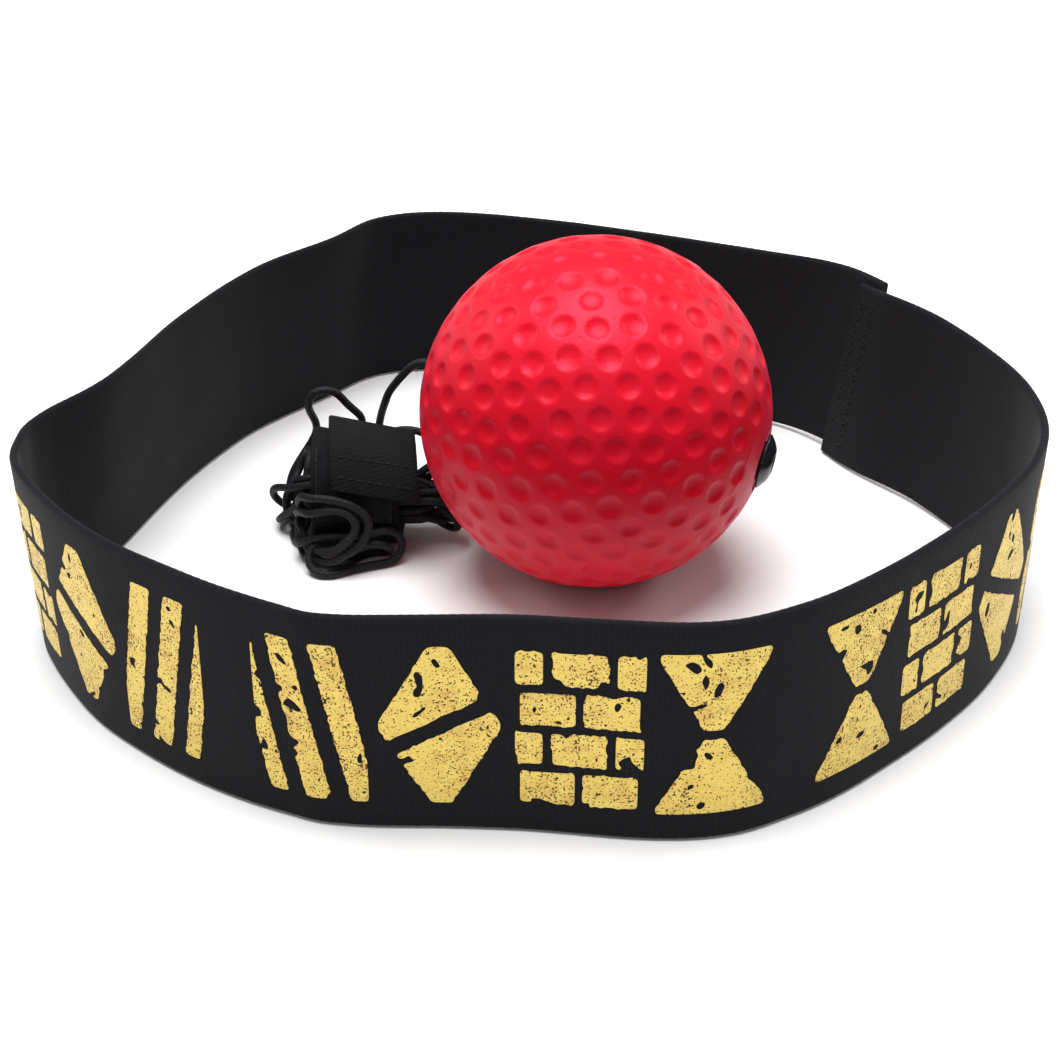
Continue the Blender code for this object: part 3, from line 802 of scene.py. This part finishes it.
class Loop:
    """The headband's middle surface, as in the part."""

    def __init__(self):
        top = through(np.array(BAND_ROUTE) * MM, closed=True, steps=24)
        self.table = np.vstack([top, top[:1]])
        self.at = lengths_along(self.table[:, :2])
        self.length = self.at[-1]
        self.end = self.length + LAP

    def edge(self, s):
        return [np.interp(s % self.length, self.at, self.table[:, k]) for k in range(3)]

    def outward(self, s):
        step = 0.002
        x0, y0, _ = self.edge(s - step)
        x1, y1, _ = self.edge(s + step)
        size = np.hypot(x1 - x0, y1 - y0)
        return (y1 - y0) / size, -(x1 - x0) / size

    def layer(self, s):
        half = (BAND_THICKNESS + LAP_GAP) / 2
        clear = LAP + LAP_SKEW
        outside = 1 - smoothstep(s, clear, clear + LAP_FADE)
        inside = smoothstep(s, self.length - LAP_FADE - 0.001, self.length - 0.001)
        return half * (outside - inside)

    def height(self, s, share):
        from_seam = np.minimum(np.abs(s - LAP / 2), np.abs(s - self.length - LAP / 2))
        lift = LAP_DROP * np.exp(-((from_seam / LAP_LIFT_REACH) ** 2))
        drop = LAP_DROP * smoothstep(s, self.length - LAP_FADE, self.end)
        return np.maximum(0.0, lift - drop) + share * BAND_WIDTH

    def ripple(self, s, share):
        """The slight unevenness of a soft strip, outwards."""
        slow = np.sin(s * 97 + 1.3) * np.sin(share * 4.1 + s * 31)
        quick = np.sin(s * 263 + share * 5.2) * np.sin(share * 9.0 - s * 77 + 0.7)
        return 0.00012 * slow + 0.00006 * quick

    def point(self, s, share, offset):
        s, share, offset = np.broadcast_arrays(*(np.asarray(v, float) for v in (s, share, offset)))
        along = s + LAP_SKEW * (0.5 - share) * smoothstep(s, self.length - LAP, self.end)
        x, y, lean = self.edge(along)
        nx, ny = self.outward(along)
        out = lean * (1 - share) + self.layer(s) + offset + self.ripple(s, share)
        return np.stack([x + nx * out, y + ny * out, self.height(s, share)], axis=-1)


def band_section():
    """Height and offset round the strip's section, its edges rounded over."""
    half = BAND_THICKNESS / 2
    outer = [(h, half) for h in np.linspace(half, BAND_WIDTH - half, 17)]
    top = [
        (BAND_WIDTH - half + half * math.sin(t), half * math.cos(t))
        for t in np.linspace(0, math.pi, 7)[1:-1]
    ]
    inner = [(h, -half) for h in np.linspace(BAND_WIDTH - half, half, 17)]
    bottom = [
        (half - half * math.sin(t), -half * math.cos(t)) for t in np.linspace(0, math.pi, 7)[1:-1]
    ]
    return np.array(outer + top + inner + bottom)


SCALLOP_PITCH = 0.0015
SCALLOP_DEPTH = 0.00005


def build_headband(loop):
    section = band_section()
    count = int(loop.end / 0.0004)
    s = np.linspace(0, loop.end, count + 1)[:, None]
    height, offset = section[:, 0][None], section[:, 1][None]
    rim = 1 - np.clip(np.abs(offset) / (BAND_THICKNESS / 2), 0, 1) ** 4
    wave = 0.5 - 0.5 * np.cos(TAU * s / SCALLOP_PITCH)
    inwards = SCALLOP_DEPTH * wave * rim * np.where(height > BAND_WIDTH / 2, -1.0, 1.0)
    points = loop.point(s, (height + inwards) / BAND_WIDTH, offset)
    around = lengths_along(np.vstack([section, section[:1]]))
    made = add_skin("headband", points, s[:, 0], around, sharp=60)
    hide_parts("headband_elastic")
    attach(made, "headband")
    return made


SEAM_ROWS = (0.0017, 0.0050)
SEAM_THREAD_RADIUS = 0.00014
ZIGZAG_WIDTH = 0.0018
ZIGZAG_PITCH = 0.0025
ZIGZAG_MARGIN = 0.0030


def build_seams(loop):
    """The zigzag stitching through the lap, pressed into the elastic and going through it at
    each turn."""
    finish = thread_finish()
    run = BAND_WIDTH - 2 * ZIGZAG_MARGIN
    waves = round(run / ZIGZAG_PITCH)
    place = np.linspace(0, waves, waves * 40 + 1)
    share = (ZIGZAG_MARGIN + run * place / waves) / BAND_WIDTH
    sway = np.arcsin(np.sin(TAU * place)) * 2 / math.pi
    proud = BAND_THICKNESS / 2 + 0.00004 - 0.00030 * smoothstep(np.abs(sway), 0.80, 1.0)
    for row, distance in enumerate(SEAM_ROWS, 1):
        for face, start, side in (("inner", loop.length, -1), ("outer", 0.0, 1)):
            path = loop.point(start + distance + sway * ZIGZAG_WIDTH / 2, share, side * proud)
            made = add_tube(f"seam_{face}_{row}", path, SEAM_THREAD_RADIUS, 6)
            made.data.materials.append(finish)
            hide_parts(f"seam_thread_{face}_{row}")
            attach(made, "headband")


# ---- printed pattern

PRINT_LOW, PRINT_HIGH = 0.13, 0.87  # of the band's height
PRINT_CELL = 0.00037
PRINT_RISE = (0.00001, 0.00006)  # of its under and upper faces above the band's
# Each group of four marks: where along the strip each begins and ends, in millimetres.
GROUP_MARKS = ((0.0, 17.5), (19.4, 37.4), (39.6, 58.7), (60.6, 76.9))
GROUP_STARTS = (39.0, 125.0, 211.2, 297.8, 384.2, 470.6)
PRINT_LAST = 508.0


def bars(u, v):
    """Three slanting bars."""
    lean = u + 0.30 * (v - 0.5)
    return ((lean * 2.5 + 0.25) % 1.0 < 0.58) & (lean > -0.04) & (lean < 1.04)


def split_diamond(u, v):
    """A diamond cut in two by a slanting gap."""
    inside = np.abs(u - 0.5) / 0.52 + np.abs(v - 0.5) / 0.60 < 1.0
    return inside & (np.abs(v - 0.5 - 0.35 * (u - 0.5)) > 0.055)


def bricks(u, v):
    """Rows of blocks, each row moved along from the one below."""
    row = np.floor(v * 4)
    inside_row = np.abs(v * 4 - row - 0.5) < 0.41
    across = (u + 0.25 * (row % 2)) * 2.0
    return inside_row & (np.abs(across - np.floor(across) - 0.5) < 0.43)


def hourglass(u, v):
    """Two wedges, tip to tip, set apart."""
    return (np.abs(u - 0.5) < 0.06 + 0.95 * np.abs(v - 0.5)) & (np.abs(v - 0.5) > 0.03)


MARKS = (bars, split_diamond, bricks, hourglass)


def wobble(random, u, v, size, waves):
    """A smooth uneven field, between about -size and size."""
    total = np.zeros_like(u)
    for _ in range(6):
        fu, fv = random.uniform(-waves, waves, 2)
        total += np.sin(TAU * (fu * u + fv * v) + random.uniform(0, TAU))
    return total * size / 3


def chipped(random, u, v, aspect):
    """Where the print has flaked off: a few ragged holes, and a few bites in its edges."""
    gone = np.zeros(u.shape, bool)
    for _ in range(17):
        cu, cv = random.uniform(-0.05, 1.05, 2)
        long, thin = random.uniform(0.018, 0.056), random.uniform(0.012, 0.027)
        turn = random.uniform(0, math.pi)
        du, dv = (u - cu) / aspect, v - cv
        a = du * math.cos(turn) + dv * math.sin(turn)
        b = dv * math.cos(turn) - du * math.sin(turn)
        edge = 1 + wobble(random, u, v, 0.45, 9)
        gone |= (a / long) ** 2 + (b / thin) ** 2 < edge
    return gone


def no_bare_corners(keep):
    """Adds a cell wherever two cells touch only at a corner, so that the plate stays closed."""
    keep = keep.copy()
    for _ in range(6):
        one = keep[:-1, :-1] & keep[1:, 1:] & ~keep[1:, :-1] & ~keep[:-1, 1:]
        keep[1:, :-1] |= one
        other = keep[1:, :-1] & keep[:-1, 1:] & ~keep[:-1, :-1] & ~keep[1:, 1:]
        keep[:-1, :-1] |= other
    return keep


def mark_mesh(loop, shape, random, start, end, mirrored):
    """One mark as a thin closed plate on the band's outer face: points, faces and weave."""
    height = (PRINT_HIGH - PRINT_LOW) * BAND_WIDTH
    columns, rows = int((end - start) / PRINT_CELL), int(height / PRINT_CELL)
    i, j = np.meshgrid(np.arange(columns), np.arange(rows), indexing="ij")
    u, v = (i + 0.5) / columns, (j + 0.5) / rows
    u_seen = 1 - u if mirrored else u
    ragged_u = u_seen + wobble(random, u, v, 0.006, 26)
    ragged_v = v + wobble(random, u, v, 0.004, 26)
    keep = shape(ragged_u, ragged_v) & ~chipped(random, u, v, height / (end - start))
    keep = no_bare_corners(keep)
    i, j = i[keep], j[keep]
    corners = ((i, j), (i + 1, j), (i + 1, j + 1), (i, j + 1))
    quads = np.stack([a * (rows + 1) + b for a, b in corners], axis=1)
    used, quads = np.unique(quads, return_inverse=True)
    quads = quads.reshape(-1, 4)
    spots = np.stack([used // (rows + 1), used % (rows + 1)], axis=1).astype(float)
    edges = np.vstack([quads[:, [k, (k + 1) % 4]] for k in range(4)])
    _, index, uses = np.unique(np.sort(edges, axis=1), axis=0, return_index=True, return_counts=True)
    rim = edges[index[uses == 1]]
    for _ in range(3):
        total, number = np.zeros_like(spots), np.zeros(len(spots))
        for a, b in ((0, 1), (1, 0)):
            np.add.at(total, rim[:, a], spots[rim[:, b]])
            np.add.at(number, rim[:, a], 1)
        on_rim = number > 0
        spots[on_rim] += 0.5 * (total[on_rim] / number[on_rim][:, None] - spots[on_rim])
    s = start + spots[:, 0] * (end - start) / columns
    share = PRINT_LOW + spots[:, 1] * (PRINT_HIGH - PRINT_LOW) / rows
    face = BAND_THICKNESS / 2
    under, top = (loop.point(s, share, face + rise) for rise in PRINT_RISE)
    count = len(s)
    walls = np.stack([rim[:, 1], rim[:, 0], rim[:, 0] + count, rim[:, 1] + count], axis=1)
    faces = np.vstack([quads, quads[:, ::-1] + count, walls])
    weave = np.tile(np.stack([s, share * BAND_WIDTH], axis=1), (2, 1))
    return np.vstack([top, under]), faces, weave[faces]


def build_print(loop):
    random = np.random.default_rng(11)
    verts, faces, weave, count = [], [], [], 0
    for group, start in enumerate(GROUP_STARTS):
        mirrored = group % 2 == 0
        for k, shape in enumerate(MARKS):
            low, high = GROUP_MARKS[k]
            if mirrored:
                low, high = GROUP_MARKS[-1][1] - high, GROUP_MARKS[-1][1] - low
            low, high = (start + low) * MM, (start + high) * MM
            if high > PRINT_LAST * MM:
                continue
            points, quads, spots = mark_mesh(loop, shape, random, low, high, mirrored)
            verts.append(points)
            faces.append(quads + count)
            weave.append(spots.reshape(-1, 2))
            count += len(points)
    made = add_mesh(
        "gold_print", np.vstack(verts), np.vstack(faces).tolist(), np.vstack(weave), sharp=40
    )
    made.data.materials.append(foil_finish())
    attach(made, "headband")
    return made


# ---- ball and stopper


def bore_matrix():
    flat = math.cos(BORE_ELEVATION)
    axis = Vector(
        (
            flat * math.cos(BORE_AZIMUTH),
            flat * math.sin(BORE_AZIMUTH),
            math.sin(BORE_ELEVATION),
        )
    )
    turn = axis.to_track_quat("Z", "Y").to_matrix().to_4x4()
    return Matrix.Translation(BALL_CENTRE) @ turn


def turned(name, profile, segments, shift=None, sharp=40):
    """A ring-shaped piece: a closed profile of (radius, height) turned about the bore.
    shift moves its points, given as an array of [turn, profile point, xyz]."""
    profile = np.asarray(profile, float)
    turn = TAU * np.arange(segments) / segments
    points = np.empty((segments, len(profile), 3))
    points[..., 0] = np.cos(turn)[:, None] * profile[:, 0]
    points[..., 1] = np.sin(turn)[:, None] * profile[:, 0]
    points[..., 2] = profile[:, 1]
    if shift is not None:
        points = shift(points)
    along = np.append(turn, TAU) * profile[:, 0].max()
    across = lengths_along(np.vstack([profile, profile[:1]]))
    made = add_skin(name, points, along, across, closed_rings=True, sharp=sharp)
    made.data.transform(bore_matrix())
    return made


DIMPLES = 362
DIMPLE_RADIUS = 0.00218
DIMPLE_DEPTH = 0.00058
PARTING_LINE = Vector((0.467, 0.651, -0.598))  # square to the plane the mould parts in
PARTING_RIDGE = 0.00012
PARTING_WIDTH = 0.00035
DIMPLE_DISORDER = 0.028  # of their even spread, in ball radii
DIMPLE_SPACING = 0.200  # between their middles, in ball radii
CLEAR_OF_SEAT, CLEAR_OF_MOUTH = math.radians(18), math.radians(5)
BALL_RINGS, BALL_SEGMENTS = 250, 460


def dimple_places():
    """Directions spread evenly over the ball, a little unevenly placed as if by hand."""
    random = np.random.default_rng(5)
    k = np.arange(DIMPLES) + 0.5
    polar = np.arccos(1 - 2 * k / DIMPLES)
    turn = math.pi * (1 + math.sqrt(5)) * k
    p = np.stack([np.sin(polar) * np.cos(turn), np.sin(polar) * np.sin(turn), np.cos(polar)], axis=1)
    p += random.normal(0, DIMPLE_DISORDER, p.shape)
    p /= norms(p)[:, None]
    for _ in range(14):
        between = p[:, None] - p[None]
        far = norms(between) + np.eye(len(p))
        push = np.clip(DIMPLE_SPACING - far, 0, None) / far
        np.fill_diagonal(push, 0)
        p += 0.35 * (between * push[..., None]).sum(axis=1)
        p /= norms(p)[:, None]
    return p[(p[:, 2] < math.cos(CLEAR_OF_SEAT)) & (p[:, 2] > -math.cos(CLEAR_OF_MOUTH))]


def dimpled(points):
    flat = points.reshape(-1, 3)
    radius = norms(flat)
    outside = radius > BALL_RADIUS - 1e-5
    way = flat / radius[:, None]
    depth = np.zeros(len(flat))
    for place in dimple_places():
        near = np.nonzero(way @ place > math.cos(1.1 * DIMPLE_RADIUS / BALL_RADIUS))[0]
        away = np.arccos(np.clip(way[near] @ place, -1, 1)) * BALL_RADIUS / DIMPLE_RADIUS
        depth[near] = np.maximum(depth[near], np.clip(1 - away**2.6, 0, None))
    parting = np.array(bore_matrix().to_3x3().inverted() @ PARTING_LINE)
    ridge = np.exp(-((way @ parting * BALL_RADIUS / PARTING_WIDTH) ** 2)) * (1 - depth)
    slow = np.sin(way[:, 0] * 3.1 + 0.4) * np.sin(way[:, 1] * 2.7 + 1.1) * np.sin(way[:, 2] * 3.7)
    inwards = DIMPLE_DEPTH * depth + 0.00010 * (1 + slow) + PARTING_RIDGE * (1 - ridge)
    flat = flat - way * np.where(outside, inwards, 0.0)[:, None]
    return flat.reshape(points.shape)


def build_ball():
    mouth = math.asin(BORE_RADIUS / BALL_RADIUS)
    rim = math.asin(SEAT_RADIUS / BALL_RADIUS)
    polar = np.linspace(math.pi - mouth, rim, BALL_RINGS)
    profile = [(BALL_RADIUS * math.sin(t), BALL_RADIUS * math.cos(t)) for t in polar]
    for share in (0.95, 0.86, 0.78):
        rise = 0.0002 * float(smoothstep(share, 0.7, 0.86))
        profile.append((SEAT_RADIUS * share, SEAT_LEVEL + rise))
    profile += [(SEAT_RADIUS * 0.70, SEAT_LEVEL), (STEM_HOLE_RADIUS + 0.0003, SEAT_LEVEL)]
    profile += [(STEM_HOLE_RADIUS, SEAT_LEVEL - 0.0003), (STEM_HOLE_RADIUS, STEM_HOLE_LEVEL)]
    profile += [(BORE_RADIUS, STEM_HOLE_LEVEL)]
    made = turned("ball", profile, BALL_SEGMENTS, shift=dimpled, sharp=55)
    made.data.materials.append(foam_finish())
    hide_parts("ball_foam")
    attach(made, "ball")
    return made


def cup_level():
    return STOPPER_LEVEL + STOPPER_HEIGHT - CUP_DEPTH


def build_stopper():
    """Domed button with a rounded rim, a lipped cup for the knot and a stem in the seat."""
    hole = CORD_DIAMETER / 2 + GAP
    rim = STOPPER_RIM / 2
    profile = [
        (hole, STOPPER_LEVEL - STEM_LENGTH),
        (STEM_RADIUS - 0.0003, STOPPER_LEVEL - STEM_LENGTH),
        (STEM_RADIUS, STOPPER_LEVEL - STEM_LENGTH + 0.0003),
        (STEM_RADIUS, STOPPER_LEVEL + 0.0004),
        (STOPPER_RADIUS * 0.6, STOPPER_LEVEL + 0.0004),
        (STOPPER_RADIUS - rim * 1.6, STOPPER_LEVEL),
    ]
    for t in np.linspace(-math.pi / 2, 0, 6):
        level = STOPPER_LEVEL + rim + rim * math.sin(t)
        profile.append((STOPPER_RADIUS - rim + rim * math.cos(t), level))
    for share in np.linspace(0, 1, 26)[1:]:
        radius = STOPPER_RADIUS + (CUP_RADIUS + 0.0002 - STOPPER_RADIUS) * share
        rise = (STOPPER_HEIGHT - STOPPER_RIM) * math.sin(math.pi / 2 * share)
        profile.append((radius, STOPPER_LEVEL + rim + rise + (STOPPER_RIM - rim) * share))
    profile += [(CUP_RADIUS, STOPPER_LEVEL + STOPPER_HEIGHT - 0.0003)]
    profile += [(CUP_RADIUS, cup_level() + 0.0003), (CUP_RADIUS - 0.0003, cup_level())]
    profile += [(hole, cup_level())]
    made = turned("stopper", profile, 96, sharp=70)
    made.data.materials.append(plastic_finish())
    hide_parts("stopper_cap")
    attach(made, "cord_set")
    return made


KNOT_STRAND = 0.00052
KNOT_HEAVE = 0.00040


def build_knot():
    """The cord's knot: a strand wound on itself, in the cup."""
    t = np.linspace(0, TAU, 97)
    t[-1] = 0.0
    wind = 2 * t + 0.3
    ring = (KNOT_RADIUS - KNOT_STRAND) * 0.86
    path = np.stack([ring * np.cos(wind), ring * np.sin(wind), KNOT_HEAVE * np.sin(3 * t)], axis=1)
    path *= (1 + 0.16 * np.cos(3 * t))[:, None]
    path[:, 2] += cup_level() + GAP + KNOT_RADIUS * 0.85
    made = add_tube("knot", path, KNOT_STRAND, 12)
    made.data.transform(bore_matrix())
    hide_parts("stopper_knot")
    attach(made, "cord_set")
    return made


# ---- strap

RIB_PITCH = 0.0008
RIB_DEPTH = 0.00014
RIB_SKEW = -0.50  # how far along the strap a rib runs for each metre across it


def strap_section(width, thickness):
    """Points (x, offset) round a strip's section, its edges rounded over."""
    half = thickness / 2
    flat = width / 2 - half
    across = np.linspace(-flat, flat, 31)
    turn = np.linspace(-math.pi / 2, math.pi / 2, 6)[1:-1]
    section = [(x, -half) for x in across]
    section += [(flat + half * math.cos(t), half * math.sin(t)) for t in turn]
    section += [(x, half) for x in across[::-1]]
    section += [(-flat - half * math.cos(t), -half * math.sin(t)) for t in turn]
    return np.array(section)


def strap_sections(start, end, end_slant, width, thickness, lift, step, ribbed):
    """Points[ring, side, xyz] of a strip wound with the strap, and its weave coordinates."""
    fine = np.linspace(start, end, 4000)
    middle = tab_point(fine, tab_offset(fine) + lift + thickness / 2, tab_middle(fine))
    at = lengths_along(middle)
    stations = np.linspace(0, at[-1], max(4, int(at[-1] / step)) + 1)
    angles = np.interp(stations, at, fine)[:, None]
    section = strap_section(width, thickness)
    around = lengths_along(np.vstack([section, section[:1]]))
    x, out = section[:, 0][None], section[:, 1][None]
    half = thickness / 2
    angle = angles + end_slant * (angles - start) / (end - start) * (2 * x / width)
    if ribbed:
        uneven = 0.00010 * np.sin(x * 1100 + stations[:, None] * 470)
        rib_at = stations[:, None] + RIB_SKEW * around[:-1][None] + uneven
        dip = np.abs(np.sin(math.pi * rib_at / RIB_PITCH)) - 1.0
        swell = RIB_DEPTH * dip * np.sign(out) * (np.abs(out) > half * 0.6)
        nibble = 0.00014 * dip * np.sign(x) * (np.abs(x) > width / 2 - half)
    else:
        swell = nibble = 0.0
    offset = tab_offset(angle) + lift + half + out + swell
    points = tab_point(angle, offset, tab_middle(angle) + x + nibble)
    return points, stations, around


def build_strap():
    """The strap in two lengths that meet at the back: the one that stays wound, and the one that runs on
    to the free end."""
    finish = webbing_finish()
    size = (TAB_WIDTH, TAB_THICKNESS, 0.0, RIB_PITCH / 6, True)
    wound, along, around = strap_sections(TAB_START, TAB_LENGTHS_MEET, 0.0, *size)
    made = add_skin("strap_wound", wound, along, around, sharp=60)
    made.data.materials.append(finish)
    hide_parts("tab_strap")
    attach(made, "cord_set")
    free, along, around = strap_sections(TAB_LENGTHS_MEET, TAB_END, TAB_END_SLANT, *size)
    made = add_skin("strap_free_end", free, along, around, sharp=60)
    made.data.materials.append(finish)
    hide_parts("tab_flap")
    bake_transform(made)


def build_patches():
    finish = pile_finish()
    width = TAB_WIDTH - 2 * PATCH_MARGIN
    spans = (
        ("loop_patch", "tab_loop_patch", LOOP_PATCH_SPAN, 0.0, TAB_THICKNESS + GAP, "cord_set"),
        ("hook_patch", "tab_hook_patch", HOOK_PATCH_SPAN, TAB_END_SLANT, -GAP - PATCH_THICKNESS, "flap"),
    )
    random = np.random.default_rng(3)
    for name, node, (start, end), slant, lift, body in spans:
        points, along, around = strap_sections(
            start, end, slant, width, PATCH_THICKNESS, lift, 0.0003, False
        )
        tufts = random.normal(0, 0.00005, points.shape)
        tufts[[0, -1]] = 0
        made = add_skin(name, points + tufts, along, around, sharp=80)
        made.data.materials.append(finish)
        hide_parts(node)
        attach(made, body)


STITCH_PITCH = 0.0017
STITCH_LENGTH = 0.0012
STITCH_RADIUS = 0.00014
STITCH_SUNK, STITCH_ARCH = 0.00014, 0.00022  # ends below the strap's face, and rise between them


def build_stitches():
    """The two rows of stitching on the free end: short stitches that dip in at their ends."""
    finish = thread_finish()
    half = TAB_WIDTH / 2 - PATCH_MARGIN
    for row, angle in enumerate(FLAP_THREADS, 1):
        rings, count = [], int(2 * half / STITCH_PITCH)
        for k in range(count):
            start = -half + (k + 0.5) * 2 * half / count - STITCH_LENGTH / 2
            share = np.linspace(0, 1, 7)
            x = start + STITCH_LENGTH * share
            lift = TAB_THICKNESS - STITCH_SUNK + STITCH_ARCH * np.sin(math.pi * share)
            slant = TAB_END_SLANT * (angle - TAB_HINGE) / (TAB_END - TAB_HINGE)
            turn = angle + slant * (2 * x / TAB_WIDTH)
            rings.append(tab_point(turn, tab_offset(turn) + lift, tab_middle(turn) + x))
        made = add_tubes(f"stitches_{row}", rings, STITCH_RADIUS, 6)
        made.data.materials.append(finish)
        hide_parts(f"flap_thread_{row}")
        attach(made, "flap")


# ---- carried-over nodes, stage


def finish_nodes():
    """Gives the CAD nodes that stay their own finish."""
    kept = {
        "cord_core": plain_cord_finish(),
        "cord_bar_tack": thread_finish(),
    }
    for name, finish in kept.items():
        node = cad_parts[name]
        for slot in node.material_slots:
            slot.material = finish


def build_stage():
    floor = add_mesh(
        "floor",
        [(-3, -3, -0.0002), (3, -3, -0.0002), (3, 3, -0.0002), (-3, 3, -0.0002)],
        [(0, 1, 2, 3)],
        smooth=False,
    )
    f = Finish("paper_white", (0.86, 0.855, 0.86), 0.8, specular=0.1)
    grain = f.noise(f.place(), 30.0, 2.0)
    f.colour(f.mix(grain, (0.85, 0.845, 0.85), (0.87, 0.865, 0.87)))
    floor.data.materials.append(f.material)


def add_light(name, place, aim, size, watts, colour=(1.0, 1.0, 1.0)):
    data = bpy.data.lights.new(name, "AREA")
    data.shape = "DISK"
    data.size = size
    data.energy = watts
    data.color = colour
    made = bpy.data.objects.new(name, data)
    made.location = place
    made.rotation_euler = (Vector(aim) - Vector(place)).to_track_quat("-Z", "Y").to_euler()
    bpy.context.collection.objects.link(made)


def light_scene():
    world = bpy.data.worlds.new("studio")
    world.use_nodes = True
    sky = world.node_tree.nodes["Background"]
    sky.inputs["Color"].default_value = (1.0, 1.0, 1.0, 1.0)
    sky.inputs["Strength"].default_value = 0.36
    bpy.context.scene.world = world
    add_light("overhead", (-0.05, 0.0, 1.1), (0, 0, 0), 0.9, 19.0)
    add_light("front_fill", (-0.3, -1.2, 0.5), (0, 0, 0.02), 0.8, 1.6)
    add_light("left_rim", (-0.95, 0.45, 0.65), (0, 0, 0.03), 0.5, 3.0)
    add_light("right_rim", (0.95, 0.45, 0.65), (0, 0, 0.03), 0.5, 3.5)
    bpy.context.scene.view_settings.view_transform = "Standard"


# ---- everything in order


def main():
    cord = build_cord()
    braid = cord_finish()
    cord.data.materials.append(braid)
    loop = Loop()
    build_headband(loop).data.materials.append(elastic_finish())
    build_seams(loop)
    build_print(loop)
    build_ball()
    build_stopper()
    build_knot().data.materials.append(braid)
    build_strap()
    build_patches()
    build_stitches()
    finish_nodes()
    build_stage()
    light_scene()


main()
